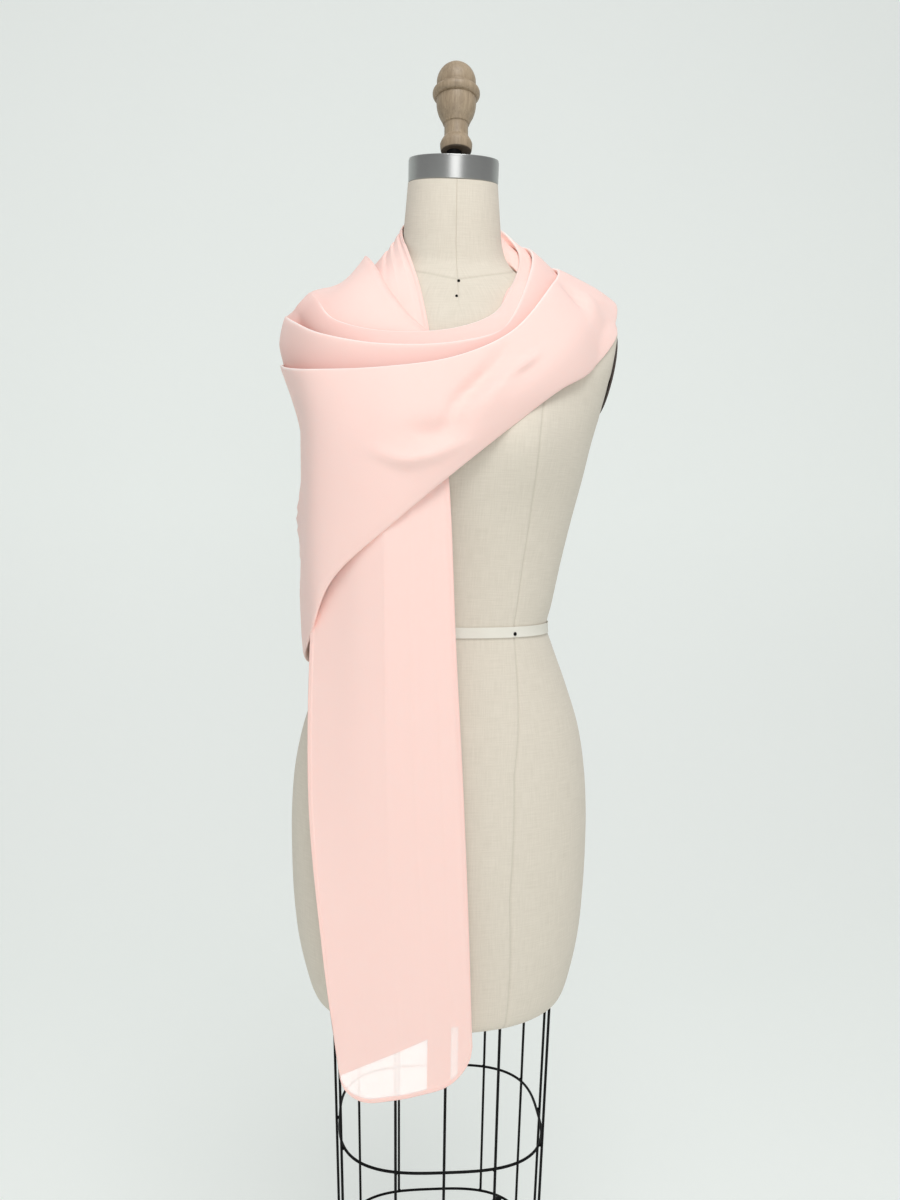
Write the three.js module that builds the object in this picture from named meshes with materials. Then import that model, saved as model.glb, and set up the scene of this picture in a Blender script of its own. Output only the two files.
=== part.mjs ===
import * as THREE from "three";

// Evening stole of thin chiffon, worn on a limbless dress form.
// Millimetres, +Z up. The form faces -Y and the origin is on the floor under its axis.
// Left and right are the viewer's, looking at the front.

// Cloth
const CLOTH_WALL = 1.5;
const SEAM_GAP = 0.3;
const FORM_CLEARANCE = 1.2;
const LAYER_GAP = 2.5;
const HEM_CORNER = 36;
const HEM_EASE = 6;
// Share of the way to the next place that is left open where two stretches meet
const STRETCH_CUT = 0.012;
// Share of the way from the breastbone to the left chest where the shoulder panel begins
const PANEL_START = 0.5;

// Form
const FORM_BOTTOM = 632;
const NECK_TOP = 1515.5;
const NECK_TILT = 0.2;
const NECK_TILT_START = 1400;
const NECK_TILT_FULL = 1450;
const SECTION_POWER = 2.3;
const FORM_SIDES = 40;
const BUST = { across: 72, height: 1236, width: 42, tall: 48, reach: 15, fade: 2 };
const ARMHOLE = { low: 1272, top: 1392, reach: 158.5, slope: 0.17 };
// The hips sit a little to the left of the shoulders and the neck: height, shift to the right
const LEAN = [
  [FORM_BOTTOM, -4], [750, -5.5], [890, -5.5], [1040, -3], [1280, 2], [1390, 2], [1450, 0], [1600, 0],
];
const PLATE = { halfTall: 42, halfDeep: 44, thick: 2.2, height: 1316, back: 5 };
const TAPE = { height: 1044, tall: 11, thick: 0.8, lift: 0.8 };
const CAP = { radius: 48, tall: 24, rim: 1.5 };
const NECK_CENTRE = -6.5;
// The finial leans back, so its stem is cut at a slant: stem radius and height, shift to the right, lean
const FINIAL = { stem: 8, rise: 7.1, right: 2.2, lean: THREE.MathUtils.degToRad(8) };

// Wire cage
const WIRE = 3;
const HOOP_POWER = 3;
const UPPER_HOOP = { height: 475, halfWide: 114, halfDeep: 110 };
const LOWER_HOOP = { height: 315, halfWide: 109, halfDeep: 106 };
const CAGE_CENTRE = 11;
const WIRE_TOP = FORM_BOTTOM - SEAM_GAP;
const WIRE_ANGLES = [-1.5, 25, 58, 92, 124, 149, 172, 201, 226, 270, 299, 334];
const HOOP_STEPS = 56;
const HOOP_SIDES = 6;
const WIRE_LIFT = WIRE + 2 * SEAM_GAP;

// Stand below the cage
const BASE = { radius: 210, edge: 10, crown: 18, collar: 30, chamfer: 3 };
const POST_RADIUS = 13;
const HUB = { radius: 24, tall: 26 };
const ARM = { count: 4, radius: 4, tipGap: 1.4, rootGap: 0.5 };

// Sides of each round piece
const SIDES = { plate: 32, cap: 40, stem: 20, finial: 28, wire: 8, base: 64, post: 24, hub: 24, arm: 10 };

const COLOURS = {
  chiffon: { color: 0xfcdad3, roughness: 0.75, metalness: 0 },
  linen: { color: 0xdbd5c5, roughness: 0.9, metalness: 0 },
  tape: { color: 0xe9e5d9, roughness: 0.85, metalness: 0 },
  wood: { color: 0x968470, roughness: 0.6, metalness: 0 },
  steel: { color: 0x9a9c9d, roughness: 0.35, metalness: 1 },
  brown: { color: 0x3b2c27, roughness: 0.6, metalness: 0 },
  black: { color: 0x141414, roughness: 0.5, metalness: 0.4 },
};

// Level sections of the form: height, half width, depth in front and behind the axis
const FORM_SECTIONS = [
  [FORM_BOTTOM, 130, 112, 138], [636, 136, 115, 142], [645, 141, 117, 144], [668, 148, 119, 147],
  [706, 156, 121, 150], [752, 160.5, 123, 151], [800, 162.5, 123, 150], [845, 162.5, 121, 146],
  [891, 159, 118, 138], [936, 150.5, 113, 125], [982, 135, 106, 108], [1026, 118, 99, 95],
  [1044, 112, 97, 92], [1071, 117, 98, 92], [1116, 125, 103, 96], [1160, 134, 111, 103],
  [1204, 144, 119, 110], [1248, 153.5, 121, 116], [1292, 167, 112, 120], [1336, 186, 96, 118],
  [1358, 186, 86, 112], [1372, 174, 77, 104], [1383, 156, 71, 97], [1394, 130, 66, 90],
  [1405, 103, 61, 82], [1418, 77, 57, 74], [1432, 61, 54, 66], [1450, 54, 54, 58],
  [1478, 51, 55, 49], [NECK_TOP, 48, 55, 42],
];

// Turned finial: height over its foot, radius
const FINIAL_PROFILE = [
  [0, 0], [0, 13.5], [0.5, 15.2], [3, 16.6], [8.4, 17.1], [12.5, 16.4], [16, 13.4], [21, 12.7], [30.5, 13],
  [34, 14.6], [39.4, 17.8], [46.7, 20.2], [58.5, 21.4], [59.5, 23.6], [62, 24.9], [67, 24.8], [69.5, 23.4],
  [71, 20.9], [75, 20.7], [80, 20.4], [86, 18.4], [91.5, 14.4], [95.5, 9], [98, 4.5], [99, 0],
];

// The stole's long lines across the chest, from its upper edge to its lower edge.
// Each line passes the same places on the form: across, back, up.
const PLACES = ["nape", "rightBlade", "rightCrest", "rightCollar", "rightChest", "breastbone", "leftChest",
  "leftCollar", "leftFlank", "leftSide", "leftBlade", "backFall", "backHem"];
const WRAP_LINES = {
  upperEdge: [
    [0, 62, 1478], [45, 41, 1474], [66, 14, 1446], [50, -69, 1386], [33, -91, 1352],
    [-5, -101, 1336], [-42, -94, 1355], [-66, -77, 1384], [-83, -41, 1420], [-92, 14, 1441],
    [-80, 74, 1432], [-36, 128, 1370], [-8, 138, 890]],
  shoulderDip: [
    [0, 66, 1484], [48, 43, 1481], [70, 15, 1449], [52, -72, 1389], [34, -93, 1357],
    [-5, -103, 1341], [-58, -99, 1347], [-95, -84, 1366], [-112, -54, 1393], [-117, 10, 1412],
    [-102, 78, 1418], [-44, 131, 1356], [-16, 139, 889]],
  upperFold: [
    [0, 70, 1488], [51, 46, 1487], [74, 16, 1453], [54, -76, 1392], [36, -95, 1364],
    [-5, -106, 1346], [-75, -103, 1342], [-122, -89, 1354], [-141, -55, 1379], [-150, 3, 1403],
    [-125, 78, 1408], [-52, 133, 1340], [-24, 140, 888]],
  middleFold: [
    [0, 77, 1470], [59, 56, 1464], [84, 16, 1457], [73, -71, 1404], [42, -108, 1347],
    [-5, -117, 1331], [-79, -114, 1328], [-137, -92, 1340], [-165, -55, 1357], [-176, -2, 1372],
    [-150, 84, 1376], [-66, 134, 1290], [-40, 141, 886]],
  lowerFold: [
    [0, 84, 1452], [71, 66, 1440], [113, 8, 1434], [91, -84, 1390], [50, -117, 1342],
    [-5, -130, 1315], [-77, -130, 1303], [-145, -102, 1303], [-172, -57, 1310], [-183, -6, 1322],
    [-160, 88, 1322], [-82, 132, 1210], [-58, 141, 884]],
  upperPanel: [
    [0, 89, 1437], [83, 73, 1420], [140, 12, 1424], [112, -86, 1372], [64, -123, 1320],
    [0, -140, 1285], [-72, -148, 1258], [-138, -115, 1250], [-156, -66, 1252], [-162, 0, 1256],
    [-154, 84, 1240], [-96, 128, 1110], [-78, 140, 882]],
  lowerPanel: [
    [0, 93, 1424], [97, 78, 1403], [164, 10, 1414], [135, -85, 1355], [80, -124, 1300],
    [10, -148, 1252], [-66, -153, 1205], [-130, -124, 1172], [-147, -79, 1150], [-152, 0, 1130],
    [-145, 80, 1105], [-112, 122, 1010], [-98, 139, 880]],
  lowerEdge: [
    [0, 97, 1408], [111, 83, 1385], [182, 8, 1402], [160, -70, 1345], [99, -115, 1287],
    [22, -141, 1226], [-60, -152, 1158], [-123, -130, 1098], [-145, -95, 1060], [-154, 2, 1016],
    [-142, 68, 985], [-128, 118, 930], [-118, 138, 878]],
};
// How deep the cloth is tucked in below each fold at those places, and how far towards the form
const TUCKS = {
  upperFold: { depths: [2, 2, 3, 3, 3, 4, 4, 4, 4, 3, 3, 3, 2], inset: 5 },
  middleFold: { depths: [3, 3, 4, 6, 8, 9, 10, 11, 4, -2, 0, 3, 3], inset: 4 },
  lowerFold: { depths: [4, 4, 6, 9, 12, 16, 22, 22, 16, 8, 6, 5, 4], inset: 6 },
};

// The stole's lines from the nape down the front tail, from its left edge to its right edge
const TAIL_LINES = {
  leftEdge: [
    [0, 97, 1410], [-57, 78, 1416], [-84, 26, 1428], [-96, -26, 1405], [-103, -60, 1381],
    [-112, -83, 1345], [-122, -91, 1310], [-132, -94, 1250], [-136, -96, 1180], [-141, -101, 1050],
    [-143, -120, 880], [-131, -138, 735], [-112, -145, 578]],
  middle: [
    [0, 84, 1454], [-46, 68, 1455], [-68, 20, 1450], [-74, -30, 1424], [-73, -59, 1401],
    [-73, -79, 1370], [-76, -98, 1330], [-76, -127, 1256], [-76, -139, 1190], [-74, -144, 1040],
    [-70, -146, 880], [-60, -147, 738], [-48, -148, 585]],
  rightEdge: [
    [0, 66, 1490], [-36, 50, 1490], [-52, 14, 1474], [-51, -22, 1450], [-46, -50, 1426],
    [-37, -70, 1392], [-29, -95, 1346], [-18, -126, 1262], [-10, -136, 1190], [-2, -142, 1040],
    [8, -144, 880], [15, -145, 740], [20, -146, 600]],
};
// Place on those lines where the neck rise ends and the front tail begins
const TAIL_SPLIT = 7.6;
// The folded-back layer behind the tail: how far its end rises at each side, and its share inside the edges
const UNDER_LAYER = { leftRise: 30, rightRise: 66, inset: 0.04 };

// Facets of each stretch of the stole: along its lines, across them
const FACETS = {
  stole_shoulder_fan: [10, 16],
  stole_chest_wrap: [28, 10],
  stole_cowl_middle: [28, 3],
  stole_cowl_upper: [28, 3],
  stole_shoulder_panel: [14, 4],
  stole_back_tail: [14, 16],
  stole_neck_rise: [20, 6],
  stole_front_tail: [16, 12],
  stole_tail_under: [14, 6],
};

const model = new THREE.Group();

function add(name, geometry, colour, parent = model) {
  const mesh = new THREE.Mesh(geometry, new THREE.MeshStandardMaterial(COLOURS[colour]));
  mesh.name = name;
  parent.add(mesh);
  return mesh;
}

function blend(from, to, share) {
  return from + (to - from) * share;
}

// Moves every vertex of a geometry through a function of its own place
function reshape(geometry, place) {
  const position = geometry.attributes.position;
  const point = new THREE.Vector3();
  for (let i = 0; i < position.count; i += 1) {
    point.fromBufferAttribute(position, i);
    const moved = place(point);
    position.setXYZ(i, moved.x, moved.y, moved.z);
  }
  return geometry;
}

// Half width, front depth and back depth of the form at any height
function formSection(height) {
  const last = FORM_SECTIONS.length - 1;
  let row = FORM_SECTIONS.findIndex((section) => section[0] > height);
  row = row < 0 ? last : Math.max(row, 1);
  const low = FORM_SECTIONS[row - 1];
  const high = FORM_SECTIONS[row];
  const share = THREE.MathUtils.clamp((height - low[0]) / (high[0] - low[0]), 0, 1);
  return [1, 2, 3].map((column) => blend(low[column], high[column], share));
}

function armholeReach(height) {
  return ARMHOLE.reach + (height - ARMHOLE.low) * ARMHOLE.slope;
}

function bustReach(across, height) {
  const side = (Math.abs(across) - BUST.across) / BUST.width;
  const rise = (height - BUST.height) / BUST.tall;
  return BUST.reach * Math.exp(-side * side - rise * rise);
}

function formLean(height) {
  const row = Math.max(LEAN.findIndex(([level]) => level > height), 1);
  const [low, before] = LEAN[row - 1];
  const [high, after] = LEAN[row];
  return blend(before, after, (height - low) / (high - low));
}

function neckTilt(height) {
  return NECK_TILT * THREE.MathUtils.smoothstep(height, NECK_TILT_START, NECK_TILT_FULL);
}

// Point of the form at an angle from the front, moved out by a lift
function formPoint(angle, height, lift = 0) {
  const [wide, front, back] = formSection(height);
  const sine = Math.sin(angle);
  const cosine = Math.cos(angle);
  const deep = (cosine > 0 ? front : back) + lift;
  const power = SECTION_POWER;
  const sum = Math.abs(sine / (wide + lift)) ** power + Math.abs(cosine / deep) ** power;
  const radius = sum ** (-1 / power);
  let x = radius * sine;
  let y = -radius * cosine;
  if (height > ARMHOLE.low && height < ARMHOLE.top) {
    const reach = armholeReach(height) + lift;
    x = THREE.MathUtils.clamp(x, -reach, reach);
  }
  if (cosine > 0) {
    y -= bustReach(x, height) * Math.min(1, BUST.fade * cosine);
  }
  return new THREE.Vector3(x + formLean(height), y, height + neckTilt(height) * (y - NECK_CENTRE));
}

// Pushes a point of the cloth out until it clears the form
function clearOfForm(point) {
  const gap = FORM_CLEARANCE;
  const lean = formLean(point.z);
  const across = point.x - lean;
  const [wide, front, back] = formSection(point.z);
  const deep = (point.y < 0 ? front + bustReach(across, point.z) : back) + gap;
  const power = SECTION_POWER;
  const inside = Math.abs(across / (wide + gap)) ** power + Math.abs(point.y / deep) ** power;
  if (inside >= 1) {
    return point;
  }
  const inArmhole = point.z > ARMHOLE.low && point.z < ARMHOLE.top;
  const plateFace = inArmhole ? armholeReach(point.z) + PLATE.thick + SEAM_GAP + gap : Infinity;
  if (Math.abs(across) >= plateFace) {
    return point;
  }
  const grow = inside ** (-1 / power);
  if (Math.abs(across * grow) > plateFace) {
    return new THREE.Vector3(Math.sign(across) * plateFace + lean, point.y, point.z);
  }
  return new THREE.Vector3(across * grow + lean, point.y * grow, point.z);
}

// Builds a cloth wall over a sheet that is given by a function of two shares, along and across
function clothWall(sheet, alongSteps, acrossSteps) {
  const points = [];
  for (let i = 0; i <= alongSteps; i += 1) {
    points.push([]);
    for (let j = 0; j <= acrossSteps; j += 1) {
      points[i].push(sheet(i / alongSteps, j / acrossSteps));
    }
  }
  const geometry = new THREE.BoxGeometry(1, 1, 1, alongSteps, acrossSteps, 1);
  return reshape(geometry, (corner) => {
    const i = Math.round((corner.x + 0.5) * alongSteps);
    const j = Math.round((corner.y + 0.5) * acrossSteps);
    const along = points[Math.min(i + 1, alongSteps)][j].clone().sub(points[Math.max(i - 1, 0)][j]);
    const across = points[i][Math.min(j + 1, acrossSteps)].clone().sub(points[i][Math.max(j - 1, 0)]);
    const outward = along.cross(across).normalize();
    return points[i][j].clone().addScaledVector(outward, (corner.z + 0.5) * CLOTH_WALL);
  });
}

// Smooth sheet through a set of lines, between two places on them
function sheetThrough(lines, from, to) {
  const curves = lines.map((line) => new THREE.CatmullRomCurve3(line));
  const spans = lines[0].length - 1;
  return (along, across) => {
    const share = blend(from, to, along) / spans;
    const section = new THREE.CatmullRomCurve3(curves.map((curve) => curve.getPoint(share)));
    return clearOfForm(section.getPoint(across));
  };
}

function toVectors(line) {
  return line.map((point) => new THREE.Vector3(...point));
}

// Line that is tucked in behind a fold
function tuckedLine(fold, tuck) {
  return fold.map((point, place) => {
    const flat = new THREE.Vector3(point.x, point.y, 0).setLength(tuck.inset);
    return point.clone().sub(flat).setZ(point.z - tuck.depths[place]);
  });
}

function formTorso() {
  const rows = FORM_SECTIONS.length - 1;
  const torso = new THREE.CylinderGeometry(1, 1, 1, FORM_SIDES, rows);
  reshape(torso, (point) => {
    const height = FORM_SECTIONS[Math.round((point.y + 0.5) * rows)][0];
    const onAxis = Math.hypot(point.x, point.z) < 0.5;
    if (onAxis) {
      const centre = height > FORM_BOTTOM ? NECK_CENTRE : 0;
      return new THREE.Vector3(formLean(height), centre, height);
    }
    return formPoint(Math.atan2(point.x, point.z), height);
  });
  add("form_torso", torso, "linen");
}

function waistTape() {
  const half = TAPE.tall / 2;
  // Radius 1 is the band's inside face and radius 2 its outside face
  const corners = [[1, -half], [2, -half], [2, half], [1, half], [1, -half]];
  const band = new THREE.LatheGeometry(corners.map(([r, h]) => new THREE.Vector2(r, h)), FORM_SIDES);
  reshape(band, (point) => {
    const lift = TAPE.lift + (Math.hypot(point.x, point.z) - 1) * TAPE.thick;
    return formPoint(Math.atan2(point.x, point.z), TAPE.height + point.y, lift);
  });
  add("waist_tape", band, "tape");
}

function armholePlates() {
  for (const [name, side] of [["left", -1], ["right", 1]]) {
    const plate = new THREE.CylinderGeometry(1, 1, PLATE.thick, SIDES.plate);
    plate.scale(PLATE.halfTall, 1, PLATE.halfDeep);
    plate.rotateZ(Math.PI / 2);
    plate.rotateX(Math.PI / 2);
    const mesh = add(`armhole_plate_${name}`, plate, "brown");
    const lean = Math.atan(ARMHOLE.slope);
    const out = armholeReach(PLATE.height) + (PLATE.thick / 2 + SEAM_GAP) / Math.cos(lean);
    mesh.position.set(side * out + formLean(PLATE.height), PLATE.back, PLATE.height);
    mesh.rotation.y = side * lean;
  }
}

function neckFittings() {
  const top = new THREE.Group();
  top.position.set(0, NECK_CENTRE, NECK_TOP + SEAM_GAP);
  top.rotation.x = Math.PI / 2 + Math.atan(NECK_TILT);
  model.add(top);
  const { radius, tall, rim } = CAP;
  const capProfile = [[0, 0], [radius, 0], [radius, tall - rim], [radius - rim, tall], [0, tall]];
  add("neck_cap", lathe(capProfile, SIDES.cap), "steel", top);
  const slant = Math.atan(NECK_TILT) + FINIAL.lean;
  const foot = tall + FINIAL.rise;
  const stemProfile = [[0, 0], [FINIAL.stem, 0], [FINIAL.stem, 1], [0, 1]];
  const stem = reshape(lathe(stemProfile, SIDES.stem), (point) => {
    const height = point.y > 0 ? foot + Math.tan(slant) * point.z : tall + SEAM_GAP;
    return new THREE.Vector3(point.x, height, point.z);
  });
  add("finial_stem", stem, "black", top);
  const finialProfile = FINIAL_PROFILE.map(([height, r]) => [r, height]);
  const finial = add("finial", lathe(finialProfile, SIDES.finial), "wood", top);
  finial.position.set(FINIAL.right, foot + SEAM_GAP / Math.cos(slant), 0);
  finial.rotation.x = -slant;
}

function lathe(profile, sides) {
  return new THREE.LatheGeometry(profile.map(([r, h]) => new THREE.Vector2(r, h)), sides);
}

// Plan of the cage: a square with round corners, at an angle from the front
function cagePoint(angle, size, lift) {
  const sine = Math.sin(angle);
  const cosine = Math.cos(angle);
  const sum = Math.abs(sine / size.halfWide) ** HOOP_POWER + Math.abs(cosine / size.halfDeep) ** HOOP_POWER;
  const radius = sum ** (-1 / HOOP_POWER) + lift;
  return new THREE.Vector3(radius * sine, CAGE_CENTRE - radius * cosine, size.height);
}

function cageHoop(name, size) {
  const ring = new THREE.TorusGeometry(1, 0.5, HOOP_SIDES, HOOP_STEPS);
  reshape(ring, (point) => {
    const out = Math.hypot(point.x, point.y) - 1;
    const place = cagePoint(Math.atan2(point.x, -point.y), size, out * WIRE);
    return place.setZ(size.height + point.z * WIRE);
  });
  add(name, ring, "black");
}

function rod(name, from, to, radius, sides) {
  const path = new THREE.LineCurve3(from, to);
  const disc = new THREE.Shape();
  disc.absarc(0, 0, radius, 0, Math.PI * 2);
  const geometry = new THREE.ExtrudeGeometry(disc, { extrudePath: path, steps: 1, curveSegments: sides / 2 });
  add(name, geometry, "black");
}

// Each wire runs outside both hoops, from under the form to the lower hoop
function cageWires() {
  WIRE_ANGLES.forEach((degrees, index) => {
    const angle = THREE.MathUtils.degToRad(degrees);
    const upper = cagePoint(angle, UPPER_HOOP, WIRE_LIFT);
    const lower = cagePoint(angle, LOWER_HOOP, WIRE_LIFT);
    const fall = upper.clone().sub(lower).divideScalar(upper.z - lower.z);
    const top = upper.clone().addScaledVector(fall, WIRE_TOP - upper.z);
    const foot = lower.clone().addScaledVector(fall, -WIRE);
    rod(`cage_wire_${String(index + 1).padStart(2, "0")}`, foot, top, WIRE / 2, SIDES.wire);
  });
}

function stand() {
  const { radius, edge, crown, collar, chamfer } = BASE;
  const rim = [[radius, 0], [radius, edge - chamfer], [radius - chamfer, edge]];
  const profile = [[0, 0], ...rim, [collar, crown], [0, crown]];
  add("stand_base", lathe(profile, SIDES.base), "black").rotation.x = Math.PI / 2;
  const hubLow = LOWER_HOOP.height - HUB.tall / 2;
  const foot = new THREE.Vector3(0, 0, crown + SEAM_GAP);
  rod("stand_post", foot, new THREE.Vector3(0, 0, hubLow - SEAM_GAP), POST_RADIUS, SIDES.post);
  const hub = new THREE.Vector3(0, 0, hubLow);
  rod("stand_hub", hub, new THREE.Vector3(0, 0, hubLow + HUB.tall), HUB.radius, SIDES.hub);
  for (let arm = 0; arm < ARM.count; arm += 1) {
    const angle = 2 * Math.PI * (arm + 0.5) / ARM.count;
    const tip = cagePoint(angle, LOWER_HOOP, -WIRE / 2 - ARM.tipGap);
    const root = tip.clone().sub(hub).setZ(0).setLength(HUB.radius + ARM.rootGap);
    root.z = LOWER_HOOP.height;
    rod(`stand_arm_${arm + 1}`, root, tip, ARM.radius, SIDES.arm);
  }
}

function addStretch(name, sheet) {
  add(name, clothWall(sheet, ...FACETS[name]), "chiffon");
}

// One wall for each stretch of the wrap that shows
function wrapStretches() {
  const line = {};
  for (const [name, points] of Object.entries(WRAP_LINES)) {
    line[name] = toVectors(points);
  }
  const panel = [line.lowerFold, line.upperPanel, line.lowerPanel, line.lowerEdge];
  const whole = [line.upperEdge, line.shoulderDip, line.upperFold, line.middleFold, ...panel];
  const middle = [line.middleFold, tuckedLine(line.lowerFold, TUCKS.lowerFold)];
  const upper = [line.upperFold, tuckedLine(line.middleFold, TUCKS.middleFold)];
  const shoulder = [line.upperEdge, line.shoulderDip, tuckedLine(line.upperFold, TUCKS.upperFold)];
  const crest = PLACES.indexOf("rightCrest");
  const side = PLACES.indexOf("leftSide");
  const shoulderStart = PLACES.indexOf("breastbone") + PANEL_START;
  addStretch("stole_shoulder_fan", sheetThrough(whole, STRETCH_CUT, crest - STRETCH_CUT));
  addStretch("stole_chest_wrap", sheetThrough(panel, crest, side));
  addStretch("stole_cowl_middle", sheetThrough(middle, crest, side));
  addStretch("stole_cowl_upper", sheetThrough(upper, crest, side));
  addStretch("stole_shoulder_panel", sheetThrough(shoulder, shoulderStart, side));
  addStretch("stole_back_tail", sheetThrough(whole, side + STRETCH_CUT, PLACES.indexOf("backHem")));
}

// Raises the two corners of the tail's end so that its hem is round there
function roundHem(sheet, width) {
  return (along, across) => {
    const point = sheet(along, across);
    const inset = Math.min(across, 1 - across) * width;
    const missing = Math.max(HEM_CORNER - inset, 0);
    const rise = HEM_CORNER - Math.sqrt(HEM_CORNER ** 2 - missing ** 2);
    point.z += rise * along ** HEM_EASE;
    return point;
  };
}

function frontTail() {
  const lines = Object.values(TAIL_LINES).map(toVectors);
  const last = lines[0].length - 1;
  const width = lines[0][last].distanceTo(lines[2][last]);
  addStretch("stole_neck_rise", sheetThrough(lines, STRETCH_CUT, TAIL_SPLIT - STRETCH_CUT));
  const tail = roundHem(sheetThrough(lines, TAIL_SPLIT, last), width);
  addStretch("stole_front_tail", tail);
  const top = tail(0, 0.5).z;
  const fall = top - tail(1, 0.5).z;
  addStretch("stole_tail_under", (along, across) => {
    const point = tail(along, blend(UNDER_LAYER.inset, 1 - UNDER_LAYER.inset, across));
    const rise = blend(UNDER_LAYER.leftRise, UNDER_LAYER.rightRise, across);
    point.z += rise * (top - point.z) / fall;
    point.y += LAYER_GAP + CLOTH_WALL;
    return point;
  });
}

formTorso();
waistTape();
armholePlates();
neckFittings();
cageHoop("cage_hoop_upper", UPPER_HOOP);
cageHoop("cage_hoop_lower", LOWER_HOOP);
cageWires();
stand();
wrapStretches();
frontTail();

export default model;
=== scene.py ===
"""Evening stole of pale pink chiffon, worn on a limbless linen dress form with a wire cage and a stand.

Metres, +Z up. The form faces -Y. Left and right are the viewer's, looking at the front.
"""
import math
import bmesh
import bpy
import numpy as np
from mathutils import Matrix, Vector


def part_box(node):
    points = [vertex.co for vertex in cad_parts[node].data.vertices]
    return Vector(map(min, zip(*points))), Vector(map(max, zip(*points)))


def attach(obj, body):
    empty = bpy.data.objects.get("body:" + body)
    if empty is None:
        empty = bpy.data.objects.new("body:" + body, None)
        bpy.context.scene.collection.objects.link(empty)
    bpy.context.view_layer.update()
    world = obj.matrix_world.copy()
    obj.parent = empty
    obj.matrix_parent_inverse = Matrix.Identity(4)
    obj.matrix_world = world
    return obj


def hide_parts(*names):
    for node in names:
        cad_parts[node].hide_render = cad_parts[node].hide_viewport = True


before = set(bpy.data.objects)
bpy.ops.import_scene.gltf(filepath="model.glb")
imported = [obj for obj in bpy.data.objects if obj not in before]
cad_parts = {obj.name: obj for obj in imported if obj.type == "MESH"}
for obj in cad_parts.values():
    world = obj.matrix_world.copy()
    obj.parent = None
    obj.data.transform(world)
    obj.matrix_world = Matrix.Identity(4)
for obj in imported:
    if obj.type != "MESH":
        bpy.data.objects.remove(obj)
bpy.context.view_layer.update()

# Camera
SENSOR_TALL = 36.0
FOCAL_SHARE = 0.875
CAMERA_DISTANCE = 1.155
CAMERA_HEIGHT = 1.153
CAMERA_YAW = math.radians(4.5)
CAMERA_PAN = math.radians(4.664)
CAMERA_PITCH = math.radians(4.086)
CAMERA_ROLL = math.radians(0.8)

# Cloth
CLOTH_THICK = 0.0006
HEM_THICK = 0.0014
HEM_WIDE = 0.0035
HEM_CORNER = 0.036
HEM_FADE = 0.0012
HEM_LAP = 0.005
CLOTH_CLEARANCE = 0.0012
INNER_CLEARANCE = 0.0007
TAIL_FOLD_TOP = 7.6
TAIL_FOLD_SIDES = (0.02, 0.96)
TAIL_FOLD_BEHIND = 0.0035
# How far the painted highlight on a fold's rim and the painted shade in its valley fade above and below their
# line
RIM_HIGHLIGHT_REACH = (0.001, 0.001)
VALLEY_SHADE_REACH = (0.034, 0.004)
# Where the front tail is one layer at its hem: under a slanted line at the left, and in a narrow slit
WINDOW = {"left": -0.091, "height": 0.617, "slope": 0.42, "right": -0.025, "slit": (-0.0015, 0.0055),
          "slit_top": 0.656, "soft": 0.0012}

# Form
NECK_TOP = 1.5155
NECK_TILT = 0.2
NECK_LEAN = math.atan(NECK_TILT)
NECK_TILT_START = 1.4
NECK_TILT_FULL = 1.45
NECK_CENTRE = -0.0065
SECTION_POWER = 2.3
FAR = 9.0
BUST = {"across": 0.072, "height": 1.236, "width": 0.042, "tall": 0.048, "reach": 0.015, "fade": 2}
ARMHOLE = {"low": 1.272, "top": 1.392, "reach": 0.1585, "slope": 0.17, "soft": 0.003}
# Half height and half depth of each armhole plate: the left one is under the cloth
PLATE_HALVES = {"left": (0.042, 0.044), "right": (0.047, 0.050)}
PLATE_MIDDLE = (1.320, 0.005)
PLATE_THICK = 0.0022
PLATE_SIDES = 96
PLATE_OVERLAP = 0.0006
SEAM_GAP = 0.0003
SEAM_DEPTH = 0.0004
SEAM_PUFF = 0.0002
# Dent of a seam and puff beside it, as shares of a panel
DENT_HALF = 0.009
PUFF_MIDDLE = 0.035
PUFF_HALF = 0.02
NECK_SEAM = {"height": 1.404, "half": 0.0012, "side_rise": 0.010, "back_rise": 0.017, "back_lift": 0.008}
PANEL_STEP = 0.2
TAPE_LIFT = 0.0008
TAPE_THICK = 0.0008
TAPE_SQUARE = 0.35
# Pin heads: across, height, lift and radius
PINS = [(0.001, 1.402, 0.0, 0.0016), (-0.002, 1.385, 0.0, 0.0015), (0.066, 1.042, 0.0014, 0.0020)]

# Neck cap and finial, which leans back on a stem that is cut at a slant
CAP_RADIUS = 0.048
CAP_TALL = 0.024
STEM_RADIUS = 0.008
FINIAL_RISE = 0.0071
FINIAL_RIGHT = 0.0022
FINIAL_LEAN = math.radians(8)
FINIAL_SLANT = NECK_LEAN + FINIAL_LEAN
FINIAL_GAP = SEAM_GAP / math.cos(FINIAL_SLANT)
NECK_PLACE = Matrix.Translation((0, NECK_CENTRE, NECK_TOP + SEAM_GAP)) @ Matrix.Rotation(NECK_LEAN, 4, "X")
FINIAL_FOOT = Matrix.Translation((FINIAL_RIGHT, 0, CAP_TALL + FINIAL_RISE + FINIAL_GAP))
FINIAL_PLACE = NECK_PLACE @ FINIAL_FOOT @ Matrix.Rotation(-FINIAL_SLANT, 4, "X")
FINIAL_FOOT_LEVEL = (FINIAL_PLACE.to_3x3().inverted() @ FINIAL_PLACE.translation).z

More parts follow.
